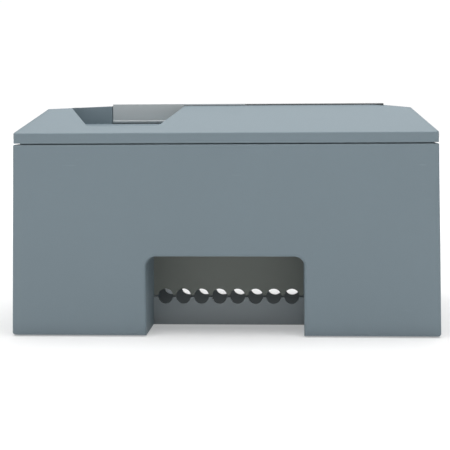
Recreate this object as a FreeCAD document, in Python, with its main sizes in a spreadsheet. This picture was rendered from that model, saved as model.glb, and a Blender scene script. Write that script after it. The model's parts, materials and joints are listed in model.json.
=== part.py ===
"""Bus fare box: a dash-mounted console with a cable tunnel, a hinged top cover, a paper door,
a ticket printer, a coin path, a sliding cash vault, two locks, fare keys and a power rocker.

Frame: millimetres, +Z up, origin under the middle of the whole object. The cable side faces -Y,
the driver's side, with the vault and the keys, faces +Y.
"""

import FreeCAD
import Part
import Sketcher

import math
import os
import re

from FreeCAD import Placement, Rotation, Vector

# ---------------------------------------------------------------- driving sizes

SIZES = (
    # housing
    ("width", 300.0),
    ("depth", 210.0),
    ("base", 0.8),            # height of the housing's lower edge over the floor
    ("seam", 134.4),          # top of the housing
    ("seam_gap", 0.8),
    ("draft", 1.0),           # degrees, each side
    ("wall", 4.0),
    ("corner_radius", 2.2),
    ("rim_radius", 0.8),
    # cable tunnel
    ("tunnel_width", 110.6),
    ("tunnel_top", 56.3),
    ("tunnel_wall", 3.0),
    ("arch_radius", 7.0),
    ("mouth_radius", 2.0),
    ("bay_depth", 49.4),      # rear face to the first comb
    ("comb_thickness", 3.0),
    ("comb_spacing", 46.0),   # first comb to the second
    ("hole_count", 8),
    ("hole_pitch", 13.25),
    ("hole_radius", 5.5),
    ("hole_height", 21.8),
    ("slit", 1.4),
    ("riser_width", 90.0),    # opening in the tunnel roof where the cables go up
    # top cover
    ("edge", 142.4),
    ("plateau", 161.0),
    ("shoulder_drop", 1.9),   # how far the top falls towards each side
    ("side_inset", 15.3),
    ("bevel_run", 51.7),
    ("cover_wall", 3.0),
    ("cover_corner", 3.5),
    ("plateau_corner", 9.0),
    ("edge_radius", 1.0),
    ("lip_depth", 5.0),
    ("lip_gap", 0.4),
    ("lip_wall", 2.2),
    ("raised", 1.2),          # how far the paper door and the window stand over the plateau
    # finger scoop
    ("scoop_floor", 146.0),   # at its near edge
    ("scoop_rise", 2.1),      # how far the floor climbs to the door's flange
    ("scoop_reach", 39.0),    # from the plateau's edge towards the cable side
    ("scoop_left", -115.0),
    ("scoop_right", -31.9),
    ("scoop_front_left", -96.8),
    ("scoop_front_right", -47.6),
    ("scoop_corner", 6.0),
    ("scoop_rim", 0.6),
    ("scoop_wall", 2.4),
    # paper door
    ("door_left", -84.1),
    ("door_right", 12.6),
    ("door_gap", 0.5),
    ("barrel_radius", 4.8),
    ("door_plate", 2.5),
    ("flange_gap", 0.4),      # flange to the scoop's floor
    ("flange_thickness", 2.0),
    ("lip_radius", 1.2),
    ("pin_radius", 2.0),
    ("pin_play", 0.05),
    # window and display
    ("window_left", 13.4),
    ("window_right", 112.6),
    ("window_margin", 3.0),   # window to the end of the flat top
    # cover hinge
    ("knuckle_radius", 4.0),
    ("knuckle_length", 22.0),
    ("knuckle_at", 95.0),     # distance of each hinge from the middle
    # legs and floor plates
    ("plate_low", 2.0),
    ("plate_thickness", 1.5),
    ("foot_radius", 9.0),
    ("foot_in", 22.0),        # foot centre in from the sides
    ("foot_dimple", 4.0),
    ("head_radius", 2.8),
    ("plate_hole", 1.7),
    ("boss_radius", 4.0),
    ("tall_boss", 20.0),
    ("screw_radius", 1.4),
    ("mount_x", 100.0),       # half spacing of the mounting holes
    ("mount_y", 70.0),
    ("mount_radius", 3.3),
    # vault
    ("vault_low", 8.0),
    ("vault_top", 82.0),
    ("vault_wall", 2.0),
    ("vault_back_room", 13.5),
    ("vault_side_room", 4.2),
    ("front_gap", 0.6),
    ("shelf_low", 84.5),
    ("shelf_thickness", 1.5),
    ("bail_half", 22.0),
    ("bail_radius", 1.4),
    ("bail_drop", 16.0),
    ("bail_pivot", 29.5),     # half length of the bail's pivots
    ("bail_dish", 5.0),
    # chassis and printer
    ("tray_thickness", 1.5),
    ("board_lift", 5.0),
    ("board_thickness", 1.6),
    ("post_radius", 3.0),
    ("socket_height", 12.0),
    ("sheet", 3.0),           # printer frame
    ("roll_radius", 27.0),
    ("roll_width", 80.0),
    ("roll_x", -36.0),
    ("roll_room", 4.0),       # under and behind the roll
    ("core_radius", 8.5),
    ("spindle_radius", 4.0),
    ("platen_radius", 7.0),
    ("platen_z", 138.0),
    ("shaft_radius", 2.5),
    ("motor_radius", 10.0),
    ("motor_length", 30.0),
    ("motor_shaft_radius", 1.5),
    ("gear_width", 4.0),
    ("gear_module", 1.0),
    ("platen_teeth", 24),
    ("pinion_teeth", 12),
    # coin path
    ("coin_x", -108.0),
    ("coin_y", 0.0),
    ("slot_length", 30.0),
    ("slot_width", 4.4),
    ("inlet_half_x", 10.0),
    ("inlet_half_y", 22.0),
    ("inlet_plate", 1.4),
    ("inlet_sink", 1.0),      # plate's face under the highest part of the top
    ("throat_half_x", 7.0),
    ("throat_half_y", 17.5),
    ("chute_half_x", 12.0),
    ("chute_half_y", 20.0),
    ("validator_half_x", 17.0),
    ("validator_half_y", 24.0),
    ("validator_top", 24.0),  # under the plateau
    ("validator_low", 50.0),
    ("flap_length", 17.0),
    ("flap_radius", 2.8),
    ("flap_pin", 1.5),
    # locks
    ("lock_radius", 8.0),
    ("plug_radius", 5.5),
    ("lock_y", -20.0),
    ("lock_z", 112.0),
    ("keyway", 6.8),
    ("cam_half", 4.5),
    ("cam_thickness", 2.5),
    ("cover_cam_reach", 19.0),
    ("vault_cam_reach", 24.0),
    # keys
    ("key_count", 6),
    ("key_pitch", 18.0),
    ("key_first", 20.0),
    ("key_width", 14.0),
    ("key_height", 10.0),
    ("key_gap", 0.4),
    ("key_skirt", 1.2),
    ("key_proud", 2.4),
    # speaker and power switch
    ("speaker_x", 100.0),
    ("speaker_z", 84.0),
    ("speaker_radius", 19.0),
    ("grille_hole", 1.5),
    ("switch_x", 100.0),
    ("switch_z", 34.0),
    ("switch_half_x", 12.0),
    ("switch_half_z", 10.0),
    ("switch_rim", 2.0),
    ("rocker_radius", 7.6),
    ("rocker_half", 8.5),
    ("rocker_pin", 1.2),
)

ROCKER_TILT = 12.0            # degrees each way

# Lengths that follow from the driving sizes.
DERIVED = {
    "drop": "((seam - base) * tan(draft))",
    "hinge_reach": "(2 * knuckle_radius - drop)",
    "rear": "(-(depth + hinge_reach) / 2)",
    "front": "((depth - hinge_reach) / 2)",
    "mid": "(-hinge_reach / 2)",
    "inner_x": "(width / 2 - wall - drop)",
    "inner_rear": "(rear + wall + drop)",
    "inner_front": "(front - wall - drop)",
    "tunnel_x": "(tunnel_width / 2)",
    "cheek_x": "(tunnel_width / 2 + tunnel_wall)",
    "roof": "(tunnel_top + tunnel_wall)",
    "comb_y": "(rear + bay_depth)",
    "second_comb_y": "(comb_y + comb_spacing)",
    "cover_low": "(seam + seam_gap)",
    "band_in": "((cover_low - base) * tan(draft))",
    "edge_in": "((edge - base) * tan(draft))",
    "top_x": "(width / 2 - edge_in - side_inset)",
    "top_rear": "(rear + edge_in + bevel_run)",
    "top_front": "(front - edge_in - bevel_run)",
    "shoulder": "(plateau - shoulder_drop)",
    "shoulder_run": "(bevel_run * (shoulder - edge) / (plateau - edge))",
    "crown_half": "((window_right - door_left) / 2)",
    "crown_middle": "((window_right + door_left) / 2)",
    "under": "(plateau - cover_wall)",
    "hinge_y": "(front - drop + knuckle_radius)",
    "hinge_z": "(seam + seam_gap / 2)",
    "platen_y": "(top_front - 8)",
    "door_axis_y": "(platen_y - 16)",
    "door_axis_z": "(plateau + raised - barrel_radius)",
    "roll_y": "(door_axis_y - 38)",
    "flange_bottom": "(scoop_floor + scoop_rise + flange_gap)",
    "scoop_near": "(top_rear - scoop_reach)",
    "window_front": "(top_front - window_margin)",
    "plate_high": "(plate_low + plate_thickness)",
    "vault_left": "(-inner_x + vault_side_room)",
    "vault_right": "(-cheek_x - vault_side_room)",
    "vault_back": "(inner_rear + vault_back_room)",
    "tray_top": "(roof + tray_thickness)",
    "low_boss": "(vault_low - plate_high - 0.6)",
    "shelf_top": "(shelf_low + shelf_thickness)",
    "bevel_angle": "atan((plateau - edge) / bevel_run)",
    "key_y": "(front - edge_in - bevel_run / 2)",
    "key_z": "((plateau + edge) / 2)",
    "lock_mid": "((vault_left + vault_right) / 2)",
    "vault_lock_z": "(vault_top - 18)",
    "bail_y": "(front - 4.5)",
    "bail_z": "(vault_low + 30)",
    "board_low": "(tray_top + board_lift)",
    "board_high": "(board_low + board_thickness)",
    "socket_top": "(tray_top + socket_height / 2)",
    "roll_z": "(shelf_top + roll_radius + roll_room)",
    "frame_left": "(roll_x - roll_width / 2 - 8)",
    "frame_right": "(roll_x + roll_width / 2 + 5)",
    "motor_z": "(platen_z - gear_module * (platen_teeth + pinion_teeth) / 2)",
    "flap_y": "(coin_y - 16)",
    "flap_z": "(plateau - 54)",
    "inlet_top": "(plateau - inlet_sink)",
}

doc = FreeCAD.newDocument("fare_box")
sheet = doc.addObject("Spreadsheet::Sheet", "Dims")
for row, (alias, amount) in enumerate(SIZES, start=1):
    sheet.set(f"A{row}", alias)
    sheet.set(f"B{row}", str(amount))
    sheet.setAlias(f"B{row}", alias)
doc.recompute()

ALIAS = re.compile(r"\b(" + "|".join(name for name, _ in SIZES) + r")\b")
NAMED = re.compile(r"\b(" + "|".join(DERIVED) + r")\b")
NODES = []


def formula(text):
    """The expression for a length: derived names are written out and sizes point at the sheet."""
    text = str(text)
    while NAMED.search(text):
        text = NAMED.sub(lambda found: DERIVED[found.group(1)], text)
    return ALIAS.sub(r"Dims.\1", text)


def number(text):
    """The present value of a length, in millimetres or degrees."""
    found = sheet.evalExpression(formula(text))
    return float(getattr(found, "Value", found))


def bind(thing, prop, text):
    thing.setExpression(prop, formula(text))


def place(thing, x, y, z):
    bind(thing, ".Placement.Base.x", x)
    bind(thing, ".Placement.Base.y", y)
    bind(thing, ".Placement.Base.z", z)


def node(name, thing):
    """Makes a document object one of the kept sub-parts."""
    thing.Label = name
    NODES.append(thing)
    return thing


# ---------------------------------------------------------------- primitives and booleans

def block(x, y, z):
    """A box between two x, two y and two z."""
    box = doc.addObject("Part::Box", "Block")
    for prop, (low, high) in zip(("Length", "Width", "Height"), (x, y, z)):
        bind(box, prop, f"({high}) - ({low})")
    place(box, x[0], y[0], z[0])
    return box


TURNS = {
    "x": Rotation(Vector(0, 1, 0), 90),
    "y": Rotation(Vector(1, 0, 0), -90),
    "z": Rotation(),
}


def rod(axis, start, radius, length):
    """A cylinder from a start point along +X, +Y or +Z."""
    cylinder = doc.addObject("Part::Cylinder", "Rod")
    cylinder.Placement = Placement(Vector(), TURNS[axis])
    bind(cylinder, "Radius", radius)
    bind(cylinder, "Height", length)
    place(cylinder, *start)
    return cylinder


def fuse(*pieces):
    joined = doc.addObject("Part::MultiFuse", "Fused")
    joined.Shapes = list(pieces)
    joined.Refine = True
    return joined


def cut(base, *tools):
    tool = tools[0] if len(tools) == 1 else fuse(*tools)
    result = doc.addObject("Part::Cut", "Cut")
    result.Base = base
    result.Tool = tool
    result.Refine = True
    return result


def group(*pieces):
    """Several separate solids in one sub-part, such as a set of screws."""
    compound = doc.addObject("Part::Compound", "Group")
    compound.Links = list(pieces)
    return compound


def tube(axis, start, outer, inner, length):
    return cut(rod(axis, start, outer, length), rod(axis, start, inner, length))


def tilt_to_bevel(thing):
    """Turns a piece built level so that its top follows the driver's bevel."""
    turned = doc.addObject("Part::Compound", "Tilted")
    turned.Links = [thing]
    turned.Placement = Placement(Vector(), Rotation(Vector(-1, 0, 0), number("bevel_angle")))
    bind(turned, ".Placement.Rotation.Angle", "bevel_angle")
    bind(turned, ".Placement.Base.y", "key_y")
    bind(turned, ".Placement.Base.z", "key_z")
    return turned


# ---------------------------------------------------------------- sketched bodies

class Sketched:
    """A PartDesign body grown from rectangles, circles and polygons."""

    def __init__(self, name):
        self.body = doc.addObject("PartDesign::Body", name + "_form")
        self.name = name

    def sketch(self, plane, offset):
        """A sketch on one of the body's origin planes, moved along that plane's normal."""
        drawing = self.body.newObject("Sketcher::SketchObject", self.name + "_sketch")
        role = plane + "_Plane"
        support = [f for f in self.body.Origin.OriginFeatures if f.Role == role][0]
        drawing.AttachmentSupport = (support, "")
        drawing.MapMode = "FlatFace"
        bind(drawing, ".AttachmentOffset.Base.z", offset)
        return drawing

    def pad(self, drawing, length, taper=None):
        pad = self.body.newObject("PartDesign::Pad", self.name + "_pad")
        pad.Profile = drawing
        bind(pad, "Length", length)
        if taper is not None:
            bind(pad, "TaperAngle", taper)
        return self._done(pad)

    def pocket(self, drawing, length):
        before = self.body.Shape.Volume
        pocket = self.body.newObject("PartDesign::Pocket", self.name + "_pocket")
        pocket.Profile = drawing
        bind(pocket, "Length", length)
        self._done(pocket)
        if self.body.Shape.Volume > before - 0.01:
            raise ValueError(f"{self.name}: a pocket cuts nothing")
        return pocket

    def fillet(self, radius, wanted):
        """Rounds the edges that a test picks out of the present shape."""
        base = self.body.Tip
        names = [
            f"Edge{index}"
            for index, edge in enumerate(base.Shape.Edges, start=1)
            if wanted(edge)
        ]
        if not names:
            raise ValueError(f"{self.name}: no edge to round")
        fillet = self.body.newObject("PartDesign::Fillet", self.name + "_fillet")
        fillet.Base = (base, names)
        bind(fillet, "Radius", radius)
        return self._done(fillet)

    def slab(self, x, y, z, taper=None):
        """Adds a rectangle drawn on XY and padded upwards."""
        drawing = self.sketch("XY", z[0])
        rectangle(drawing, x, y)
        return self.pad(drawing, f"({z[1]}) - ({z[0]})", taper)

    def sink(self, x, y, z):
        """Cuts a rectangle drawn on XY at the upper z down to the lower z."""
        drawing = self.sketch("XY", z[1])
        rectangle(drawing, x, y)
        return self.pocket(drawing, f"({z[1]}) - ({z[0]})")

    def window(self, x, y, z):
        """Cuts a rectangle drawn on XZ through the body, from the lower y to the higher."""
        drawing = self.sketch("XZ", f"-({y[0]})")
        rectangle(drawing, x, z)
        return self.pocket(drawing, f"({y[1]}) - ({y[0]})")

    def _done(self, feature):
        doc.recompute()
        if "Invalid" in feature.State or not self.body.Shape.isValid():
            raise ValueError(f"{self.name}: {feature.Name} failed")
        return feature


def fix(drawing, kind, geometry, point, text):
    """Holds one coordinate of a sketch point at a formula."""
    index = drawing.addConstraint(Sketcher.Constraint(kind, -1, 1, geometry, point, number(text)))
    bind(drawing, f"Constraints[{index}]", text)


def polygon(drawing, points):
    """A closed outline through points given as pairs of formulas."""
    corners = [Vector(number(u), number(v), 0) for u, v in points]
    first = drawing.GeometryCount
    count = len(corners)
    for index in range(count):
        side = Part.LineSegment(corners[index], corners[(index + 1) % count])
        drawing.addGeometry(side, False)
    for index in range(count):
        ahead = first + (index + 1) % count
        drawing.addConstraint(Sketcher.Constraint("Coincident", first + index, 2, ahead, 1))
    for index, (u, v) in enumerate(points):
        fix(drawing, "DistanceX", first + index, 1, u)
        fix(drawing, "DistanceY", first + index, 1, v)


def rectangle(drawing, u, v):
    polygon(drawing, ((u[0], v[0]), (u[1], v[0]), (u[1], v[1]), (u[0], v[1])))


def circle(drawing, u, v, radius):
    ring = Part.Circle(Vector(number(u), number(v), 0), Vector(0, 0, 1), number(radius))
    index = drawing.addGeometry(ring, False)
    fix(drawing, "DistanceX", index, 3, u)
    fix(drawing, "DistanceY", index, 3, v)
    held = drawing.addConstraint(Sketcher.Constraint("Radius", index, number(radius)))
    bind(drawing, f"Constraints[{held}]", radius)


def rounded_rectangle(drawing, half_u, half_v, centre_v, radius, centre_u="0"):
    """A rectangle with four round corners about a centre."""
    wide, tall = number(half_u), number(half_v)
    across, centre, corner = number(centre_u), number(centre_v), number(radius)
    quarter = math.pi / 2
    first = drawing.GeometryCount
    for index, (su, sv) in enumerate(((1, -1), (1, 1), (-1, 1), (-1, -1))):
        middle = Vector(across + su * (wide - corner), centre + sv * (tall - corner), 0)
        ring = Part.Circle(middle, Vector(0, 0, 1), corner)
        start = (index - 1) * quarter
        drawing.addGeometry(Part.ArcOfCircle(ring, start, start + quarter), False)
    for index in range(4):
        arc = drawing.Geometry[first + index]
        ahead = drawing.Geometry[first + (index + 1) % 4]
        drawing.addGeometry(Part.LineSegment(arc.EndPoint, ahead.StartPoint), False)
    for index in range(4):
        line = first + 4 + index
        drawing.addConstraint(Sketcher.Constraint("Tangent", first + index, 2, line, 1))
        ahead = first + (index + 1) % 4
        drawing.addConstraint(Sketcher.Constraint("Tangent", line, 2, ahead, 1))
        if index:
            drawing.addConstraint(Sketcher.Constraint("Equal", first, first + index))
    held = drawing.addConstraint(Sketcher.Constraint("Radius", first, corner))
    bind(drawing, f"Constraints[{held}]", radius)
    fix(drawing, "DistanceX", first + 4, 1, f"({centre_u}) + ({half_u})")
    fix(drawing, "DistanceY", first + 5, 1, f"({centre_v}) + ({half_v})")
    fix(drawing, "DistanceX", first + 6, 1, f"({centre_u}) - ({half_u})")
    fix(drawing, "DistanceY", first + 7, 1, f"({centre_v}) - ({half_v})")


# ---------------------------------------------------------------- edge tests

NEAR = 0.02


def runs_along(edge, axis):
    """True for a straight edge along X, Y or Z, given as 0, 1 or 2."""
    ends = [vertex.Point for vertex in edge.Vertexes]
    if len(ends) != 2:
        return False
    across = [abs(ends[0][k] - ends[1][k]) for k in range(3) if k != axis]
    return max(across) < NEAR and abs(ends[0][axis] - ends[1][axis]) > NEAR


def at(edge, axis, text):
    """True when the whole edge lies at one coordinate."""
    box = edge.BoundBox
    low = (box.XMin, box.YMin, box.ZMin)[axis]
    high = (box.XMax, box.YMax, box.ZMax)[axis]
    wanted = number(text)
    return abs(low - wanted) < NEAR and abs(high - wanted) < NEAR


def leans_up(edge):
    """True for an edge that climbs most of the height of the housing."""
    return edge.BoundBox.ZLength > 0.9 * (number("seam") - number("base"))


# ---------------------------------------------------------------- housing

def hole_centres():
    count = int(number("hole_count"))
    return [f"({index} - (hole_count - 1) / 2) * hole_pitch" for index in range(count)]


def foot_centres():
    return [
        (x, y)
        for x in ("-width / 2 + foot_in", "width / 2 - foot_in")
        for y in ("rear + foot_in", "front - foot_in")
    ]


def boss_centres():
    """Screw bosses in the corners of the two legs, merged with the walls: left leg first.

    The left leg has bosses only on its outer side, and they stay under the vault.
    """
    reach = "boss_radius - 1"
    outer = f"inner_x - ({reach})"
    inner = f"cheek_x + {reach}"
    rows = (f"inner_rear + {reach}", f"inner_front - ({reach})")
    left = [(f"-({outer})", y) for y in (rows[0], "inner_front - 12")]
    right = [(x, y) for x in (outer, inner) for y in rows]
    return left, right


GRILLE_RINGS = ((0, 1), (7, 6), (13, 12))


def switch_window(more):
    """X and Z ranges of the power switch's window, grown by an amount."""
    x = (f"switch_x - switch_half_x - ({more})", f"switch_x + switch_half_x + ({more})")
    z = (f"switch_z - switch_half_z - ({more})", f"switch_z + switch_half_z + ({more})")
    return x, z


def main_housing():
    shell = Sketched("main_housing")
    shell.slab(("-width / 2", "width / 2"), ("rear", "front"), ("base", "seam"), "-draft")
    shell.fillet("corner_radius", leans_up)
    shell.fillet("rim_radius", lambda edge: at(edge, 2, "seam"))
    shell.sink(("-inner_x", "inner_x"), ("inner_rear", "inner_front"), ("base - 1", "seam + 1"))
    shell.slab(("-cheek_x", "cheek_x"), ("inner_rear - 1", "inner_front + 1"), ("base", "roof"))
    sides = ("-tunnel_x", "tunnel_x")
    shell.window(sides, ("rear - 5", "comb_y"), ("base - 5", "tunnel_top"))
    shell.fillet(
        "arch_radius",
        lambda edge: runs_along(edge, 1) and at(edge, 2, "tunnel_top"),
    )
    shell.window(sides, ("comb_y + comb_thickness", "front + 5"), ("base - 5", "tunnel_top"))
    far = number("comb_y + comb_thickness / 2")
    shell.fillet(
        "arch_radius",
        lambda edge: runs_along(edge, 1)
        and at(edge, 2, "tunnel_top")
        and edge.BoundBox.YMax > far
        and abs(abs(edge.BoundBox.XMax) - number("tunnel_x")) < NEAR,
    )
    panel = ("comb_y - 1", "comb_y + comb_thickness + 1")
    shell.window(sides, panel, ("base - 5", "hole_height + slit / 2"))
    holes = shell.sketch("XZ", f"-({panel[0]})")
    for centre in hole_centres():
        circle(holes, centre, "hole_height", "hole_radius")
    shell.pocket(holes, "comb_thickness + 2")
    riser = ("-riser_width / 2", "riser_width / 2")
    shell.sink(riser, ("comb_y + comb_thickness + 4", "second_comb_y - 4"), ("tunnel_top - 1", "roof + 1"))
    shell.fillet("mouth_radius", lambda edge: at(edge, 1, "rear") or on_mouth(edge))
    vault_face = ("vault_left - 1", "vault_right + 1")
    shell.window(vault_face, ("inner_front - 1", "front + 5"), ("vault_low - 2", "vault_top + 2"))
    switch = shell.sketch("XZ", "-(inner_front - 1)")
    rectangle(switch, *switch_window("0"))
    shell.pocket(switch, "wall + drop + 5")
    grille = shell.sketch("XZ", "-(inner_front - 1)")
    for ring, count in GRILLE_RINGS:
        for index in range(count):
            angle = 2 * math.pi * index / count
            across = f"speaker_x + {ring * math.cos(angle):.3f}"
            up = f"speaker_z + {ring * math.sin(angle):.3f}"
            circle(grille, across, up, "grille_hole")
    shell.pocket(grille, "wall + drop + 5")
    lock = shell.sketch("YZ", "width / 2 + 1")
    circle(lock, "lock_y", "lock_z", "lock_radius")
    shell.pocket(lock, "wall + drop + 3")
    return shell.body


def on_mouth(edge):
    """The rim of the tunnel's mouth in the leaning rear face."""
    box = edge.BoundBox
    inside = abs(box.XMin) < number("tunnel_x") + NEAR and abs(box.XMax) < number("tunnel_x") + NEAR
    low_enough = box.ZMax < number("tunnel_top") + NEAR
    rear = number("rear")
    at_face = rear - 1 < box.YMin and box.YMax < rear + 2
    return inside and low_enough and at_face and box.ZMax > number("base") + 1


def housing_node():
    """The moulded shell with its screw bosses and the outer hinge knuckles."""
    shell = main_housing()
    left, right = boss_centres()
    added = [rod("z", (x, y, "plate_high"), "boss_radius", "low_boss") for x, y in left]
    added += [rod("z", (x, y, "plate_high"), "boss_radius", "tall_boss") for x, y in right]
    drilled = [rod("z", (x, y, "plate_low"), "screw_radius", "low_boss + 1") for x, y in left]
    drilled += [rod("z", (x, y, "plate_low"), "screw_radius", "tall_boss") for x, y in right]
    knuckles = []
    bores = []
    for side in (-1, 1):
        middle = f"({side} * knuckle_at)"
        for shift in (-1, 1):
            low = f"{middle} + {shift} * knuckle_length / 3 - knuckle_length / 6 + 0.2"
            span = "knuckle_length / 3 - 0.4"
            knuckles.append(rod("x", (low, "hinge_y", "hinge_z"), "knuckle_radius", span))
            web_y = ("hinge_y - knuckle_radius - 1.5", "hinge_y")
            web_z = ("hinge_z - knuckle_radius - 4", "hinge_z - 1")
            knuckles.append(block((low, f"{low} + {span}"), web_y, web_z))
        start = f"{middle} - knuckle_length"
        bores.append(rod("x", (start, "hinge_y", "hinge_z"), "pin_radius", "2 * knuckle_length"))
    joined = fuse(shell, *added, *knuckles)
    return node("main_housing", cut(joined, *drilled, *bores))


def floor_plates():
    """The two steel floor plates, with the screws and the rubber feet under them."""
    left, right = boss_centres()
    screws = []
    feet = []
    sides = (
        (-1, "base_plate_left", left, ("-inner_x", "-cheek_x"), "low_boss + 1"),
        (1, "base_plate_right", right, ("cheek_x", "inner_x"), "tall_boss"),
    )
    for side, name, bosses, x, reach in sides:
        plate = block(x, ("inner_rear", "inner_front"), ("plate_low", "plate_high"))
        holes = [rod("z", (bx, by, "plate_low - 1"), "plate_hole", "4") for bx, by in bosses]
        for row in (-1, 1):
            spot = (f"{side} * mount_x", f"mid + {row} * mount_y", "plate_low - 1")
            holes.append(rod("z", spot, "mount_radius", "4"))
        node(name, cut(plate, *holes))
        for bx, by in bosses:
            shank = rod("z", (bx, by, "plate_low - 0.2"), "screw_radius", reach)
            head = rod("z", (bx, by, "plate_low - 1"), "head_radius", "1")
            screws.append(fuse(shank, head))
    for x, y in foot_centres():
        pad = rod("z", (x, y, "0"), "foot_radius", "plate_low")
        dimple = rod("z", (x, y, "-1"), "foot_dimple", "1.6")
        feet.append(cut(pad, dimple))
    node("base_screws", group(*screws))
    node("rubber_feet", group(*feet))


def combs():
    """The lower strip of the rear comb, and the two halves of the inner comb."""
    sides = ("-tunnel_x", "tunnel_x")
    slit_low = "hole_height - slit / 2"
    slit_high = "hole_height + slit / 2"

    def strip(name, start, z, arch):
        comb = Sketched(name)
        comb.slab(sides, (start, f"{start} + comb_thickness"), z)
        if arch:
            comb.fillet(
                "arch_radius",
                lambda edge: runs_along(edge, 1) and at(edge, 2, "tunnel_top"),
            )
        holes = comb.sketch("XZ", f"-({start} - 1)")
        for centre in hole_centres():
            circle(holes, centre, "hole_height", "hole_radius")
        comb.pocket(holes, "comb_thickness + 2")
        return comb.body

    lower = []
    for name, start in (("rear_comb_strip", "comb_y"), ("inner_comb_lower", "second_comb_y")):
        body = strip(name, start, ("base", slit_low), False)
        back = f"{start} + comb_thickness"
        foot = block(sides, (back, f"{back} + 8"), ("base", "base + 2"))
        lower.append(node(name, fuse(body, foot)))
    node("inner_comb_upper", strip("comb_top", "second_comb_y", (slit_high, "tunnel_top"), True))
    screws = []
    for start in ("comb_y", "second_comb_y"):
        for side in (-1, 1):
            spot = f"{side} * (tunnel_x - 5)"
            back = f"{start} + comb_thickness + 4"
            screws.append(rod("z", (spot, back, "base + 2"), "head_radius - 0.4", "1.6"))
    node("comb_screws", group(*screws))


# ---------------------------------------------------------------- top cover

def level(name, z):
    """A loose sketch lying at a height."""
    drawing = doc.addObject("Sketcher::SketchObject", name)
    bind(drawing, ".Placement.Base.z", z)
    return drawing


def ruled_loft(name, *levels):
    loft = doc.addObject("Part::Loft", name)
    loft.Sections = list(levels)
    loft.Solid = True
    loft.Ruled = True
    doc.recompute()
    return loft


def cover_blank():
    """The outer form: a low drafted band, four slopes and a top that falls a little to each side."""
    reach = "depth / 2 - edge_in"
    band = level("band_low", "cover_low")
    rounded_rectangle(band, "width / 2 - band_in", "depth / 2 - band_in", "mid", "cover_corner")
    turn = level("band_high", "edge")
    rounded_rectangle(turn, "width / 2 - edge_in", reach, "mid", "cover_corner")
    shoulder = level("cover_shoulder", "shoulder")
    rounded_rectangle(shoulder, "top_x", f"{reach} - shoulder_run", "mid", "plateau_corner")
    top = level("cover_top", "plateau")
    rounded_rectangle(top, "crown_half", f"{reach} - bevel_run", "mid", "plateau_corner", "crown_middle")
    form = ruled_loft("cover_form", band, turn, shoulder, top)
    radii = [
        (index, number("edge_radius"), number("edge_radius"))
        for index, edge in enumerate(form.Shape.Edges, start=1)
        if at(edge, 2, "edge")
    ]
    rounded = doc.addObject("Part::Fillet", "cover_rounded")
    rounded.Base = form
    rounded.Edges = radii
    return rounded


def cover_void():
    """The space inside the cover, which follows its outer form."""
    half_x = "width / 2 - edge_in - cover_wall"
    half_y = "depth / 2 - edge_in - cover_wall"
    inner_corner = "cover_wall / 2"
    levels = []
    for name, z in (("void_low", "cover_low - 1"), ("void_high", "edge - 1")):
        levels.append(level(name, z))
        rounded_rectangle(levels[-1], half_x, half_y, "mid", inner_corner)
    reach = "depth / 2 - edge_in - cover_wall / 2"
    upper_corner = "plateau_corner - cover_wall"
    levels.append(level("void_shoulder", "shoulder - cover_wall"))
    rounded_rectangle(levels[-1], "top_x - cover_wall / 2", f"{reach} - shoulder_run", "mid", upper_corner)
    levels.append(level("void_top", "under"))
    rounded_rectangle(levels[-1], "crown_half", f"{reach} - bevel_run", "mid", upper_corner, "crown_middle")
    return ruled_loft("cover_space", *levels)


def scoop_outline(drawing, grow):
    """The finger scoop's plan, wider at the door than at the slope."""
    polygon(drawing, (
        (f"scoop_left - {grow}", f"top_rear + {grow}"),
        (f"scoop_front_left - {grow}", f"scoop_near - {grow}"),
        (f"scoop_front_right + {grow}", f"scoop_near - {grow}"),
        (f"scoop_right + {grow}", f"top_rear + {grow}"),
    ))


def scoop_shell():
    """The block of wall that is left standing round the scoop inside the cover."""
    prism = Sketched("scoop_shell")
    low = "scoop_floor - scoop_wall"
    drawing = prism.sketch("XY", low)
    scoop_outline(drawing, "scoop_wall")
    prism.pad(drawing, f"plateau - ({low})")
    return prism.body


def scoop_cutter():
    """The scoop itself: round near corners and a floor that climbs to the door's flange."""
    plan = Sketched("scoop_plan")
    drawing = plan.sketch("XY", "scoop_floor - 1")
    scoop_outline(drawing, "0")
    plan.pad(drawing, "plateau - scoop_floor + 6")
    plan.fillet("scoop_corner", lambda edge: runs_along(edge, 2) and at(edge, 1, "scoop_near"))
    profile = Sketched("scoop_profile")
    drawing = profile.sketch("YZ", "scoop_left - 5")
    polygon(drawing, (
        ("scoop_near - 1", "scoop_floor - scoop_rise / scoop_reach"),
        ("top_rear + 1", "scoop_floor + scoop_rise + scoop_rise / scoop_reach"),
        ("top_rear + 1", "plateau + 4"),
        ("scoop_near - 1", "plateau + 4"),
    ))
    profile.pad(drawing, "scoop_right - scoop_left + 10")
    space = doc.addObject("Part::MultiCommon", "scoop_space")
    space.Shapes = [plan.body, profile.body]
    return space


def on_scoop_rim(edge):
    """An edge of the scoop that lies in the cable side's slope."""
    box = edge.BoundBox
    across = number("scoop_left") - NEAR < box.XMin and box.XMax < number("scoop_right") + NEAR
    along = number("scoop_near") - NEAR < box.YMin and box.YMax < number("top_rear") + NEAR
    foot = number("rear + edge_in")
    rise = number("(plateau - edge) / bevel_run")
    ends = [vertex.Point for vertex in edge.Vertexes]
    in_slope = all(abs(number("edge") + (end.y - foot) * rise - end.z) < NEAR for end in ends)
    return across and along and in_slope and box.YMin < number("top_rear") - 1


def scooped_blank():
    """The cover's outer form with the scoop cut and its rim rounded."""
    scooped = cut(cover_blank(), scoop_cutter())
    doc.recompute()
    radius = number("scoop_rim")
    rim = [
        (index, radius, radius)
        for index, edge in enumerate(scooped.Shape.Edges, start=1)
        if on_scoop_rim(edge)
    ]
    rounded = doc.addObject("Part::Fillet", "scoop_rim")
    rounded.Base = scooped
    rounded.Edges = rim
    return rounded


def door_pin():
    """The paper door's pin, which also bores the cover's ears."""
    span = "door_right - door_left + 2 * door_gap + 7.9"
    return rod("x", ("door_left - door_gap - 4", "door_axis_y", "door_axis_z"), "pin_radius", span)


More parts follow.
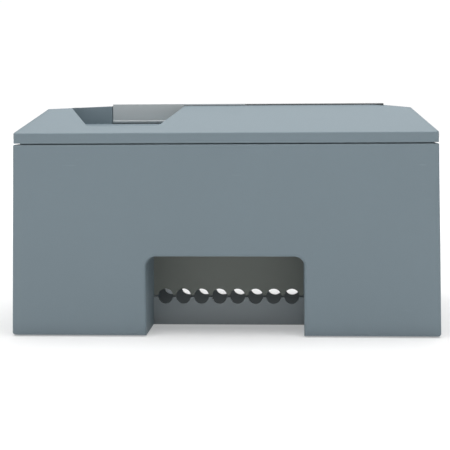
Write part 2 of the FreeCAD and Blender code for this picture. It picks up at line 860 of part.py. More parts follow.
def cover_node():
    shell = cut(scooped_blank(), cut(cover_void(), scoop_shell()))
    lip_out = "inner_x - lip_gap"
    lip_in = f"{lip_out} - lip_wall"
    lip_z = ("cover_low - lip_depth", "cover_low + 2")
    rear_out = "inner_rear + lip_gap"
    front_out = "inner_front - lip_gap"
    lip = cut(
        block((f"-({lip_out})", lip_out), (rear_out, front_out), lip_z),
        block((f"-({lip_in})", lip_in), (f"{rear_out} + lip_wall", f"{front_out} - lip_wall"),
              ("cover_low - lip_depth - 1", "cover_low + 3")),
    )
    ears = []
    for low, high in (("door_left - door_gap - 5", "door_left - door_gap"),
                      ("door_right + 0.4", "door_right + 5.4")):
        ear_y = ("door_axis_y - 5", "door_axis_y + 5")
        ears.append(block((low, high), ear_y, ("door_axis_z - 4.5", "under + 1")))
    knuckles = []
    bores = []
    for side in (-1, 1):
        low = f"({side} * knuckle_at) - knuckle_length / 6 + 0.2"
        span = "knuckle_length / 3 - 0.4"
        knuckles.append(rod("x", (low, "hinge_y", "hinge_z"), "knuckle_radius", span))
        web_y = ("hinge_y - knuckle_radius - 1.5", "hinge_y")
        web_z = ("hinge_z + 1", "hinge_z + knuckle_radius + 2")
        knuckles.append(block((low, f"{low} + {span}"), web_y, web_z))
        start = (f"({side} * knuckle_at) - knuckle_length", "hinge_y", "hinge_z")
        bores.append(rod("x", start, "pin_radius + pin_play", "2 * knuckle_length"))
    joined = fuse(shell, lip, *ears, *knuckles)
    above = "plateau + 3"
    below = "under - 2"
    inlet_x = ("coin_x - inlet_half_x", "coin_x + inlet_half_x")
    inlet_y = ("coin_y - inlet_half_y", "coin_y + inlet_half_y")
    throat_x = ("coin_x - throat_half_x - 1", "coin_x + throat_half_x + 1")
    throat_y = ("coin_y - throat_half_y - 0.5", "coin_y + throat_half_y + 0.5")
    bay_x = ("door_left - door_gap", "door_right + 0.4")
    bay_y = ("top_rear + 7", "door_axis_y + barrel_radius + door_gap")
    outlet_x = ("roll_x - roll_width / 2 - 1", "roll_x + roll_width / 2 + 1")
    cuts = [
        # paper bay, its rear part where the plate rests on the cover, and the flange's place
        block(bay_x, bay_y, (below, above)),
        block((bay_x[0], "scoop_right + 0.5"), ("top_rear - 0.5", "top_rear + 8"),
              ("flange_bottom - 0.5", above)),
        # opening under the window
        block(("window_left + 6", "window_right - 6"), ("top_rear + 8", "window_front - 8"), (below, above)),
        # ticket outlet
        block(outlet_x, ("platen_y - 2.5", "platen_y + 2.5"), (below, above)),
        # seat and throat of the coin inlet
        block(inlet_x, inlet_y, ("inlet_top - inlet_plate", above)),
        block(throat_x, throat_y, (below, above)),
        door_pin(),
    ]
    slope = []
    for index in range(int(number("key_count"))):
        centre = f"key_first + {index} * key_pitch"
        half = "key_width / 2 + key_gap"
        tall = "key_height / 2 + key_gap"
        slope.append(block((f"{centre} - ({half})", f"{centre} + {half}"), (f"-({tall})", tall), ("-6", "4")))
    cuts.append(tilt_to_bevel(fuse(*slope)))
    return node("top_cover", cut(joined, *cuts, *bores))


def cover_fittings(cover):
    """Window, display, reader board, coin inlet, hinge pins, key board and lock keeper."""
    window = Sketched("window")
    window_x = ("window_left", "window_right")
    window.slab(window_x, ("top_rear", "window_front"), ("plateau", "plateau + raised"))
    window.fillet("raised / 2", lambda edge: at(edge, 2, "plateau + raised"))
    node("reader_window", window.body)
    display_x = ("window_left + 8", "window_right - 8")
    screen_front = "top_rear + 55"
    case = block(display_x, ("top_rear + 12", screen_front), ("plateau - 9", "plateau - 0.2"))
    glass_x = ("window_left + 12", "window_right - 12")
    glass = block(glass_x, ("top_rear + 16", f"{screen_front} - 4"), ("plateau - 0.6", "plateau"))
    node("display_module", cut(case, glass))
    coil_x = ("window_left + 10", "window_right - 10")
    coil_rear = f"{screen_front} + 4"
    board = block(coil_x, (coil_rear, "window_front - 10"), ("plateau - 3", "plateau - 1.4"))
    ring_outer = block(("window_left + 14", "window_right - 14"), (f"{coil_rear} + 3", "window_front - 13"),
                       ("plateau - 1.4", "plateau - 1"))
    ring_inner = block(("window_left + 18", "window_right - 18"), (f"{coil_rear} + 7", "window_front - 17"),
                       ("plateau - 2", "plateau"))
    node("reader_antenna", fuse(board, cut(ring_outer, ring_inner)))

    plate = block(("coin_x - inlet_half_x", "coin_x + inlet_half_x"),
                  ("coin_y - inlet_half_y", "coin_y + inlet_half_y"),
                  ("inlet_top - inlet_plate", "inlet_top"))
    throat = block(("coin_x - throat_half_x", "coin_x + throat_half_x"),
                   ("coin_y - throat_half_y", "coin_y + throat_half_y"),
                   ("plateau - 9", "inlet_top - 0.5"))
    half_slot = "slot_width / 2"
    slot = block((f"coin_x - {half_slot}", f"coin_x + {half_slot}"),
                 ("coin_y - slot_length / 2", "coin_y + slot_length / 2"), ("plateau - 12", "plateau + 1"))
    node("coin_inlet", cut(fuse(plate, throat), slot))

    node("paper_door_pin", door_pin())

    keeper_x = ("inner_x - 22", "inner_x - 16")
    hook_y = "lock_y - cover_cam_reach - 1.5"
    strap = block(keeper_x, (f"{hook_y} - 3.5", hook_y), ("lock_z - cam_half - 4", "under"))
    sill = block(keeper_x, (f"{hook_y} - 1", "lock_y - cam_half - 6"),
                 ("lock_z - cam_half - 4", "lock_z - cam_half - 0.8"))
    node("lock_keeper", cut(fuse(strap, sill), cover))


def paper_door():
    width = ("door_left", "door_right")
    bottom = "plateau + raised - door_plate"
    plate = Sketched("door")
    plate.slab(width, ("top_rear", "door_axis_y"), ("plateau + 0.3", "plateau + raised"))
    deep = block(width, ("top_rear + 7.5", "door_axis_y"), (bottom, "plateau + 1"))
    flange = block(("door_left", "scoop_right"), ("top_rear", "top_rear + flange_thickness"),
                   ("flange_bottom", "plateau + 1"))
    grip = rod("x", ("door_left", "top_rear + lip_radius / 2", "flange_bottom + lip_radius"), "lip_radius",
               "scoop_right - door_left - 2")
    link = block(("door_left", "scoop_right"), ("top_rear + 1", "top_rear + 8"), (bottom, "plateau + 1"))
    barrel = rod("x", ("door_left", "door_axis_y", "door_axis_z"), "barrel_radius", "door_right - door_left")
    ribs = [
        block((f"{x} - 1", f"{x} + 1"), ("top_rear + 9", "door_axis_y - 4"), ("plateau - 4", "plateau"))
        for x in ("door_left + 6", "door_right - 6")
    ]
    bore = rod("x", ("door_left - 1", "door_axis_y", "door_axis_z"), "pin_radius + pin_play",
               "door_right - door_left + 2")
    solid = fuse(plate.body, deep, flange, grip, link, barrel, *ribs)
    return node("paper_door", cut(solid, bore))


def fare_keys():
    """Six keys in the driver's bevel, each with a wider foot under the cover."""
    skin = "cover_wall"
    for index in range(int(number("key_count"))):
        centre = f"key_first + {index} * key_pitch"
        half = "key_width / 2"
        tall = "key_height / 2"
        cap_x = (f"{centre} - {half}", f"{centre} + {half}")
        cap = block(cap_x, (f"-{tall}", tall), (f"-{skin} - 1.4", "key_proud"))
        foot_x = (f"{centre} - {half} - key_skirt", f"{centre} + {half} + key_skirt")
        foot_y = (f"-{tall} - key_skirt", f"{tall} + key_skirt")
        foot = block(foot_x, foot_y, (f"-{skin} - 2.6", f"-{skin} - 1"))
        node(f"fare_key_{index + 1}", tilt_to_bevel(fuse(cap, foot)))
    low = "key_first - 14"
    high = "key_first + (key_count - 1) * key_pitch + 14"
    board_top = f"-{skin} - 5.6"
    parts = [block((low, high), ("-13", "13"), (f"{board_top} - 1.6", board_top))]
    for index in range(int(number("key_count"))):
        centre = f"key_first + {index} * key_pitch"
        dome_x = (f"{centre} - 3", f"{centre} + 3")
        parts.append(block(dome_x, ("-3", "3"), (f"{board_top} - 0.1", f"{board_top} + 0.9")))
    node("key_board", tilt_to_bevel(fuse(*parts)))


# ---------------------------------------------------------------- hinge pins and locks

def cover_hinge_pins():
    pins = []
    for side in (-1, 1):
        start = f"({side} * knuckle_at) - knuckle_length / 2"
        pins.append(rod("x", (start, "hinge_y", "hinge_z"), "pin_radius", "knuckle_length"))
    node("cover_hinge_pins", group(*pins))


def cover_lock():
    """A cam lock in the right wall: body, turning plug and the cam on its inner end."""
    face = "width / 2 - (lock_z - base) * tan(draft) + 0.6"
    start = "inner_x - 14"
    length = f"({face}) - ({start})"
    axis = ("lock_y", "lock_z")
    shell = tube("x", (start, *axis), "lock_radius", "plug_radius + pin_play", length)
    node("cover_lock_body", shell)
    plug = rod("x", (f"{start} - 2", *axis), "plug_radius", f"{length} + 2")
    keyway = block((f"{face} - 6", f"{face} + 1"), ("lock_y - 0.8", "lock_y + 0.8"),
                   ("lock_z - keyway / 2", "lock_z + keyway / 2"))
    node("cover_lock_plug", cut(plug, keyway))
    cam_x = (f"{start} - 2 - cam_thickness", f"{start} - 2")
    cam = block(cam_x, ("lock_y - cam_half", "lock_y + cam_half"),
                ("lock_z - cam_half", "lock_z + cover_cam_reach"))
    node("cover_lock_cam", cam)


def vault_lock():
    face = "front - 1"
    start = "inner_front - 5"
    length = f"({face}) - ({start})"
    z = "vault_lock_z"
    shell = tube("y", ("lock_mid", start, z), "lock_radius", "plug_radius + pin_play", length)
    node("vault_lock_body", shell)
    plug = rod("y", ("lock_mid", f"{start} - 2", z), "plug_radius", f"{length} + 2")
    keyway = block(("lock_mid - 0.8", "lock_mid + 0.8"), (f"{face} - 6", f"{face} + 1"),
                   (f"{z} - keyway / 2", f"{z} + keyway / 2"))
    node("vault_lock_plug", cut(plug, keyway))
    cam_y = (f"{start} - 2 - cam_thickness", f"{start} - 2")
    cam = block(("lock_mid - cam_half", "lock_mid + vault_cam_reach"), cam_y,
                (f"{z} - cam_half", f"{z} + cam_half"))
    node("vault_lock_cam", cam)


# ---------------------------------------------------------------- vault

def vault():
    box_front = "inner_front - 2.5"
    box = Sketched("cash_vault")
    box.slab(("vault_left", "vault_right"), ("vault_back", box_front), ("vault_low", "vault_top"))
    box.sink(("vault_left + vault_wall", "vault_right - vault_wall"),
             ("vault_back + vault_wall", f"{box_front} - vault_wall"),
             ("vault_low + vault_wall", "vault_top + 1"))
    front_hole = block(("lock_mid - 9", "lock_mid + 27"), ("inner_front - 9", "inner_front"),
                       ("vault_top - 28", "vault_top + 1"))
    node("cash_vault", cut(box.body, front_hole))

    face = Sketched("vault_front")
    x_face = ("vault_left - 1 + front_gap", "vault_right + 1 - front_gap")
    z_face = ("vault_low - 2 + front_gap", "vault_top + 2 - front_gap")
    face.slab(x_face, (box_front, "front - 2"), z_face)
    dish = face.sketch("XZ", "-(front - 2 - bail_dish)")
    dish_x = ("lock_mid - bail_half - 5", "lock_mid + bail_half + 5")
    rectangle(dish, dish_x, ("vault_low + 8", "vault_low + 34"))
    face.pocket(dish, "bail_dish + 2")
    hole = rod("y", ("lock_mid", "inner_front - 4", "vault_lock_z"), "lock_radius", "20")
    pivot_start = ("lock_mid - bail_pivot - 0.5", "bail_y", "bail_z")
    pivot = rod("x", pivot_start, "bail_radius + pin_play", "2 * bail_pivot + 1")
    node("vault_front", cut(face.body, hole, pivot))

    low = "bail_z - bail_drop"
    legs = [
        rod("z", (f"lock_mid + {side} * bail_half", "bail_y", low), "bail_radius", "bail_drop")
        for side in (-1, 1)
    ]
    bar = rod("x", ("lock_mid - bail_half", "bail_y", low), "bail_radius", "2 * bail_half")
    top = rod("x", ("lock_mid - bail_pivot", "bail_y", "bail_z"), "bail_radius", "2 * bail_pivot")
    node("vault_handle", fuse(*legs, bar, top))

    rail_y = ("inner_rear + 14", "inner_front - 14")
    rails = [
        block((x, f"{x} + 6"), rail_y, ("plate_high", "vault_low - 0.4"))
        for x in ("vault_left + 8", "vault_right - 14")
    ]
    node("vault_rails", group(*rails))

    shelf = block(("-inner_x", "-cheek_x"), ("inner_rear", "inner_front"), ("shelf_low", "shelf_top"))
    drop_hole = block(("coin_x - validator_half_x", "coin_x + validator_half_x"),
                      ("coin_y - validator_half_y - 2", "coin_y + validator_half_y + 2"),
                      ("shelf_low - 1", "shelf_top + 1"))
    cam_slot = block(("lock_mid - cam_half - 1.5", "lock_mid + vault_cam_reach / 2 + 3"),
                     ("inner_front - 8 - cam_thickness", "inner_front - 6"),
                     ("shelf_low - 1", "shelf_top + 1"))
    skirt = block(("-cheek_x - tray_thickness", "-cheek_x"), ("inner_rear + 10", "inner_front - 10"),
                  ("roof - 6", "shelf_top"))
    node("vault_shelf", cut(fuse(shelf, skirt), drop_hole, cam_slot))


# ---------------------------------------------------------------- chassis, boards and power

def chassis():
    """The steel tray over the tunnel, with the standoffs that carry the main board."""
    side_y = ("inner_rear + 2", "inner_front - 2")
    tray = Sketched("chassis_tray")
    tray.slab(("-cheek_x", "inner_x"), side_y, ("roof", "tray_top"))
    tray.slab(("inner_x - tray_thickness", "inner_x"), side_y, ("roof - 8", "roof"))
    tray.sink(("-riser_width / 2", "riser_width / 2"),
              ("comb_y + comb_thickness + 4", "second_comb_y - 4"),
              ("roof - 1", "tray_top + 1"))
    posts = [
        rod("z", (x, y, "tray_top - 0.5"), "post_radius", "board_lift + 0.5")
        for x in ("riser_width / 2 + 15", "inner_x - 31")
        for y in ("inner_rear + 17", "inner_rear + 136.5")
    ]
    node("chassis_tray", fuse(tray.body, *posts))


def connectors():
    """A row of cable sockets over the riser, held by one carrier plate."""
    sockets = []
    count = int(number("hole_count"))
    rear_y, front_y = "second_comb_y - 22", "second_comb_y - 8"
    for index in range(count):
        centre = f"({index} - (hole_count - 1) / 2) * (riser_width / hole_count)"
        shell = block((f"{centre} - 4.5", f"{centre} + 4.5"), (rear_y, front_y),
                      ("socket_top - socket_height", "socket_top"))
        mouth = block((f"{centre} - 3.3", f"{centre} + 3.3"), (f"{rear_y} + 1.5", f"{front_y} - 1.5"),
                      ("socket_top - socket_height - 1", "socket_top - 3"))
        sockets.append(cut(shell, mouth))
    carrier = block(("-riser_width / 2 - 6", "riser_width / 2 + 6"), (f"{rear_y} - 2", f"{front_y} + 2"),
                    ("socket_top", "socket_top + board_thickness"))
    legs = [
        block((f"{x} - 2.5", f"{x} + 2.5"), (f"{rear_y} + 4", f"{front_y} - 2"), ("tray_top", "socket_top"))
        for x in ("-riser_width / 2 - 3.4", "riser_width / 2 + 3.4")
    ]
    node("connector_block", fuse(carrier, *sockets, *legs))


# Chips on the main board: x and y ranges from its corner, and height.
CHIPS = (
    (6, 28, 27, 49, 2.4),
    (38, 52, 29, 49, 1.8),
    (8, 40, 89, 101, 7.4),
    (46, 54, 69, 109, 5.4),
)


def electronics():
    """Main board, power supply, backup battery and speaker."""
    corner_x, corner_y = "riser_width / 2 + 10", "inner_rear + 12"
    board = block((corner_x, "inner_x - 26"), (corner_y, f"{corner_y} + 130"), ("board_low", "board_high"))
    chips = [
        block((f"{corner_x} + {x0}", f"{corner_x} + {x1}"), (f"{corner_y} + {y0}", f"{corner_y} + {y1}"),
              ("board_high", f"board_high + {height}"))
        for x0, x1, y0, y1, height in CHIPS
    ]
    node("main_board", fuse(board, *chips))

    supply_top = "roof - 12"
    supply_y = ("mid - mount_y + 11", "mid - mount_y + 95")
    supply = block(("cheek_x + 8", "inner_x - 8"), supply_y, ("plate_high", supply_top))
    vent_y = (f"{supply_y[0]} + 8", f"{supply_y[1]} - 8")
    vents = []
    for index in range(7):
        start = f"cheek_x + 16 + {index} * 9"
        vents.append(block((start, f"{start} + 4"), vent_y, (f"{supply_top} - 2", f"{supply_top} + 1")))
    node("power_supply", cut(supply, *vents))

    cell_top = "plate_high + 26"
    cell_y = ("mid + mount_y - 41", "mid + mount_y - 9")
    cell = block(("cheek_x + 12", "inner_x - 12"), cell_y, ("plate_high", cell_top))
    terminals = [
        block((f"{x} - 3", f"{x} + 3"), (f"{cell_y[0]} + 4", f"{cell_y[0]} + 10"),
              (cell_top, f"{cell_top} + 3"))
        for x in ("cheek_x + 20", "inner_x - 20")
    ]
    node("backup_battery", fuse(cell, *terminals))

    turned = [
        rod("y", ("speaker_x", f"inner_front - {start}", "speaker_z"), radius, length)
        for start, radius, length in ((3, "speaker_radius", "3"), (9, "speaker_radius - 4", "7"),
                                      (16, "speaker_radius - 10", "8"))
    ]
    node("speaker", fuse(*turned))


def power_switch():
    """A rocker in the driver's face: a bezel with two pins and a two-faced rocker on them."""
    face = "front - (switch_z - base) * tan(draft)"
    axle_y = f"{face} - 4"
    x, z = switch_window("0")
    frame = block(x, ("inner_front - 3", f"{face} + 1"), z)
    flange_x, flange_z = switch_window("switch_rim")
    flange = block(flange_x, (f"{face} + 0.25", f"{face} + 1.6"), flange_z)
    inner = "rocker_half + 0.5"
    opening = block((f"switch_x - ({inner})", f"switch_x + {inner}"), ("inner_front - 4", f"{face} + 3"),
                    ("switch_z - rocker_radius - 1", "switch_z + rocker_radius + 1"))
    pins = [
        rod("x", (start, axle_y, "switch_z"), "rocker_pin", "2.5")
        for start in ("switch_x - rocker_half - 1", "switch_x + rocker_half - 1.5")
    ]
    node("switch_bezel", fuse(cut(fuse(frame, flange), opening), *pins))
    barrel = rod("x", ("switch_x - rocker_half", axle_y, "switch_z"), "rocker_radius", "2 * rocker_half")
    bore = rod("x", ("switch_x - rocker_half - 1", axle_y, "switch_z"), "rocker_pin + pin_play",
               "2 * rocker_half + 2")
    shaved = []
    tall = 12
    for side in (-1, 1):
        wedge = doc.addObject("Part::Box", "Wedge")
        bind(wedge, "Length", "2 * rocker_half + 3")
        bind(wedge, "Width", "rocker_radius + 2.4")
        wedge.Height = tall
        wedge.Placement = Placement(Vector(), Rotation(Vector(1, 0, 0), side * ROCKER_TILT))
        lift = "0" if side > 0 else f"-{tall} * cos({ROCKER_TILT})"
        slide = "0" if side > 0 else f"-{tall} * sin({ROCKER_TILT})"
        start = f"{axle_y} + rocker_radius - 2.4 + {slide}"
        place(wedge, "switch_x - rocker_half - 1.5", start, f"switch_z + {lift}")
        shaved.append(wedge)
    node("power_rocker", cut(barrel, bore, *shaved))


# ---------------------------------------------------------------- ticket printer

def gear(name, teeth_name, height, bore, phase):
    """A spur gear beside the frame, with straight-sided teeth a little thinner than its spaces."""
    teeth = int(number(teeth_name))
    module = number("gear_module")
    pitch = module * teeth / 2
    tip = pitch + 0.85 * module
    root = pitch - 1.1 * module
    step = 2 * math.pi / teeth
    points = []
    for index in range(teeth):
        middle = phase + index * step
        for radius, half in ((root, 0.33), (pitch, 0.215), (tip, 0.11)):
            points.append((radius, middle - half * step))
        for radius, half in ((tip, 0.11), (pitch, 0.215), (root, 0.33)):
            points.append((radius, middle + half * step))
    x, y, z = number("frame_right + 1"), number("platen_y"), number(height)
    corners = [
        Vector(x, y + radius * math.cos(angle), z + radius * math.sin(angle))
        for radius, angle in points
    ]
    face = Part.Face(Part.makePolygon(corners + corners[:1]))
    length = number("gear_width")
    solid = face.extrude(Vector(length, 0, 0))
    solid = solid.cut(Part.makeCylinder(number(bore), length + 2, Vector(x - 1, y, z), Vector(1, 0, 0)))
    feature = doc.addObject("Part::Feature", name)
    feature.Shape = solid
    return node(name, feature)


def printer():
    """Frame, paper roll on its spindle, platen with its gear, feed motor, thermal head and tear bar."""
    inside = ("roll_x - roll_width / 2", "roll_x + roll_width / 2")
    left = ("frame_left", "frame_left + sheet")
    right = ("frame_right - sheet", "frame_right")
    y = ("roll_y - roll_radius - roll_room", "platen_y + 12")
    top = "platen_z + 9"
    base = block(("frame_left", "frame_right"), y, ("shelf_top", "shelf_top + 1.5"))
    cheeks = [
        block(left, y, ("shelf_top", top)),
        block(right, y, ("shelf_top", top)),
        block(right, ("second_comb_y + 3", y[1]), ("tray_top", "shelf_top + 1")),
    ]
    notches = []
    for x in (left, right):
        start, length = f"{x[0]} - 1", "sheet + 2"
        half = "spindle_radius + 0.1"
        slot_y = (f"roll_y - ({half})", f"roll_y + {half}")
        notches.append(block((start, f"{x[1]} + 1"), slot_y, ("roll_z", f"{top} + 1")))
        notches.append(rod("x", (start, "roll_y", "roll_z"), half, length))
        notches.append(rod("x", (start, "platen_y", "platen_z"), "shaft_radius + pin_play", length))
    shaft_hole = (f"{right[0]} - 1", "platen_y", "motor_z")
    notches.append(rod("x", shaft_hole, "2 * motor_shaft_radius", "sheet + 2"))
    node("printer_frame", cut(fuse(base, *cheeks), *notches))

    paper = tube("x", (inside[0], "roll_y", "roll_z"), "roll_radius", "core_radius", "roll_width")
    node("paper_roll", paper)
    across = "frame_right - frame_left"
    spindle = rod("x", ("frame_left - 1", "roll_y", "roll_z"), "spindle_radius", f"{across} + 2")
    hub = rod("x", (f"{inside[0]} + 4", "roll_y", "roll_z"), "core_radius", "roll_width - 8")
    node("roll_spindle", fuse(spindle, hub))

    shaft = rod("x", ("frame_left - 1", "platen_y", "platen_z"), "shaft_radius", f"{across} + 7")
    node("platen_shaft", shaft)
    roller_start = (inside[0], "platen_y", "platen_z")
    node("platen_roller", tube("x", roller_start, "platen_radius", "shaft_radius", "roll_width"))
    half_tooth = 180 / number("platen_teeth")
    gear("platen_gear", "platen_teeth", "platen_z", "shaft_radius", math.radians(half_tooth - 90))
    gear("motor_pinion", "pinion_teeth", "motor_z", "motor_shaft_radius", math.radians(90))
    shaft_start = ("frame_right - 8", "platen_y", "motor_z")
    node("motor_shaft", rod("x", shaft_start, "motor_shaft_radius", "13.5"))
    can_start = ("frame_right - sheet - motor_length", "platen_y", "motor_z")
    can = rod("x", can_start, "motor_radius", "motor_length")
    seat = rod("x", ("frame_right - 9", "platen_y", "motor_z"), "motor_shaft_radius + pin_play", "10")
    node("feed_motor", cut(can, seat))

    head_y = ("platen_y - platen_radius - 9", "platen_y - platen_radius - 0.5")
    node("thermal_head", block(inside, head_y, ("platen_z - 8", "platen_z + 6")))
    blade_y = ("platen_y + 3", "platen_y + 5")
    blade_top = "under - 1"
    blade = block(inside, blade_y, ("platen_z + platen_radius + 1", blade_top))
    ends = [
        block(x, blade_y, ("platen_z + 4", blade_top))
        for x in (("frame_left + sheet", inside[0]), (inside[1], "frame_right - sheet"))
    ]
    node("tear_bar", fuse(blade, *ends))


# ---------------------------------------------------------------- coin path

def about(centre, half):
    """A range about a centre."""
    return f"({centre}) - ({half})", f"({centre}) + ({half})"


def coin_path():
    """Chute, validator and its bracket, and the sprung flap that drops the coins into the vault."""
    chute_low, chute_high = "plateau - validator_top", "plateau - 10"
    chute = block(about("coin_x", "chute_half_x"), about("coin_y", "chute_half_y"), (chute_low, chute_high))
    bore = block(about("coin_x", "chute_half_x - 1.5"), about("coin_y", "chute_half_y - 1.5"),
                 (f"{chute_low} - 1", f"{chute_high} + 1"))
    node("coin_chute", cut(chute, bore))

    low = "plateau - validator_low"
    body = block(about("coin_x", "validator_half_x"), about("coin_y", "validator_half_y"), (low, chute_low))
    way = block(about("coin_x", "4"), about("coin_y", "18"), (f"{low} - 1", f"{chute_low} + 1"))
    node("coin_validator", cut(body, way))

    bracket = block(("-inner_x", "coin_x + validator_half_x"), about("coin_y", "validator_half_y + 4"),
                    ("shelf_top", low))
    hollow = block(about("coin_x", "validator_half_x + 1"), about("coin_y", "validator_half_y"),
                   ("shelf_top - 1", f"{low} + 1"))
    node("coin_bracket", cut(bracket, hollow))

    reach = "validator_half_x + 1"
    node("escrow_pin", rod("x", (f"coin_x - ({reach})", "flap_y", "flap_z"), "flap_pin", f"2 * ({reach})"))
    half = "validator_half_x - 2"
    eye = rod("x", (f"coin_x - ({half})", "flap_y", "flap_z"), "flap_radius", f"2 * ({half})")
    leaf = block(about("coin_x", half), ("flap_y", "flap_y + flap_length"), ("flap_z + 0.6", "flap_z + 2.2"))
    bore = rod("x", (f"coin_x - ({reach})", "flap_y", "flap_z"), "flap_pin + pin_play", f"2 * ({reach})")
    node("escrow_flap", cut(fuse(eye, leaf), bore))


# ---------------------------------------------------------------- build and write

def build():
    housing_node()
    floor_plates()
    combs()
    cover_hinge_pins()
    cover_fittings(cover_node())
    paper_door()
    fare_keys()
    cover_lock()
    vault()
    vault_lock()
    chassis()
    connectors()
    electronics()
    power_switch()
    printer()
    coin_path()


def write():
    """Checks every object and every sub-part, then writes one STEP file for each."""
    doc.recompute()
    failed = [thing.Label for thing in doc.Objects if {"Invalid", "Error"} & set(thing.State)]
    if failed:
        raise ValueError(f"these objects failed: {failed}")
    for thing in NODES:
        if thing.Shape.isNull() or not thing.Shape.isValid():
            raise ValueError(f"{thing.Label} has no valid shape")
    os.makedirs("parts", exist_ok=True)
    for thing in NODES:
        thing.Shape.exportStep(f"parts/{thing.Label}.step")
    print(len(NODES), "sub-parts written")


build()
write()
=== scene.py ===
"""Looks of the bus fare box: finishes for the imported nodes, detailed pieces that stand for the
plain ones, and a small studio round them. Metres, +Z up, -Y towards the cable side."""

import json
import logging
import math
from dataclasses import dataclass, field
from enum import Enum
from typing import Optional, Sequence, Union

import bpy
import numpy as np
from mathutils import Matrix, Vector


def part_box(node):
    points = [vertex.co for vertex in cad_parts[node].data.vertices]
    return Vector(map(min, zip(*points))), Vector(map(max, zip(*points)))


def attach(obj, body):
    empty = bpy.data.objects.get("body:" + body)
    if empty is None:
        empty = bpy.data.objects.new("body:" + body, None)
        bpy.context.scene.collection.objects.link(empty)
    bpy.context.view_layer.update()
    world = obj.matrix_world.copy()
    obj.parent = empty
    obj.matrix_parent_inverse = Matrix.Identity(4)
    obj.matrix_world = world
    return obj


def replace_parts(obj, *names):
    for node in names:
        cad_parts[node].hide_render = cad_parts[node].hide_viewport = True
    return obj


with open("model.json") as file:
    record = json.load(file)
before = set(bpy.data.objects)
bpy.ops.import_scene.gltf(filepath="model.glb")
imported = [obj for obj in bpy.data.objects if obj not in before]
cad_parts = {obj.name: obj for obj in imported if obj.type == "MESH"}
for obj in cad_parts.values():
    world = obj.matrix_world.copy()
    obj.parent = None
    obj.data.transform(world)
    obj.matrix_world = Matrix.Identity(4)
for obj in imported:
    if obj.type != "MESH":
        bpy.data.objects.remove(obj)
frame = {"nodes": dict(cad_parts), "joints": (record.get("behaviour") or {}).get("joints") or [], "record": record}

logging.basicConfig(level=logging.INFO, format="%(message)s")
LOG = logging.getLogger("fare_box")
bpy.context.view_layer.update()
MM = 0.001
Array = np.ndarray
Colour = tuple[float, float, float]


def tint(red: int, green: int, blue: int) -> Colour:
    """A linear colour from display values of 0 to 255."""
    return tuple(((value / 255 + 0.055) / 1.055) ** 2.4 for value in (red, green, blue))


# ---------------------------------------------------------------- shader expressions

class Wire:
    """A node socket that takes part in Python arithmetic."""

    def __init__(self, graph: "Graph", socket: bpy.types.NodeSocket) -> None:
        self.graph = graph
        self.socket = socket

    def __add__(self, other: "Value") -> "Wire":
        """Sum."""
        return self.graph.maths("ADD", self, other)

    def __sub__(self, other: "Value") -> "Wire":
        """Difference."""
        return self.graph.maths("SUBTRACT", self, other)

    def __rsub__(self, other: "Value") -> "Wire":
        """Difference from a number."""
        return self.graph.maths("SUBTRACT", other, self)

    def __mul__(self, other: "Value") -> "Wire":
        """Product."""
        return self.graph.maths("MULTIPLY", self, other)

    __radd__ = __add__
    __rmul__ = __mul__

    def above(self, low: float, high: float) -> "Wire":
        """Rises from 0 at low to 1 at high."""
        return self.graph.range_map(self, low, high)


Value = Union[Wire, float, Sequence[float]]


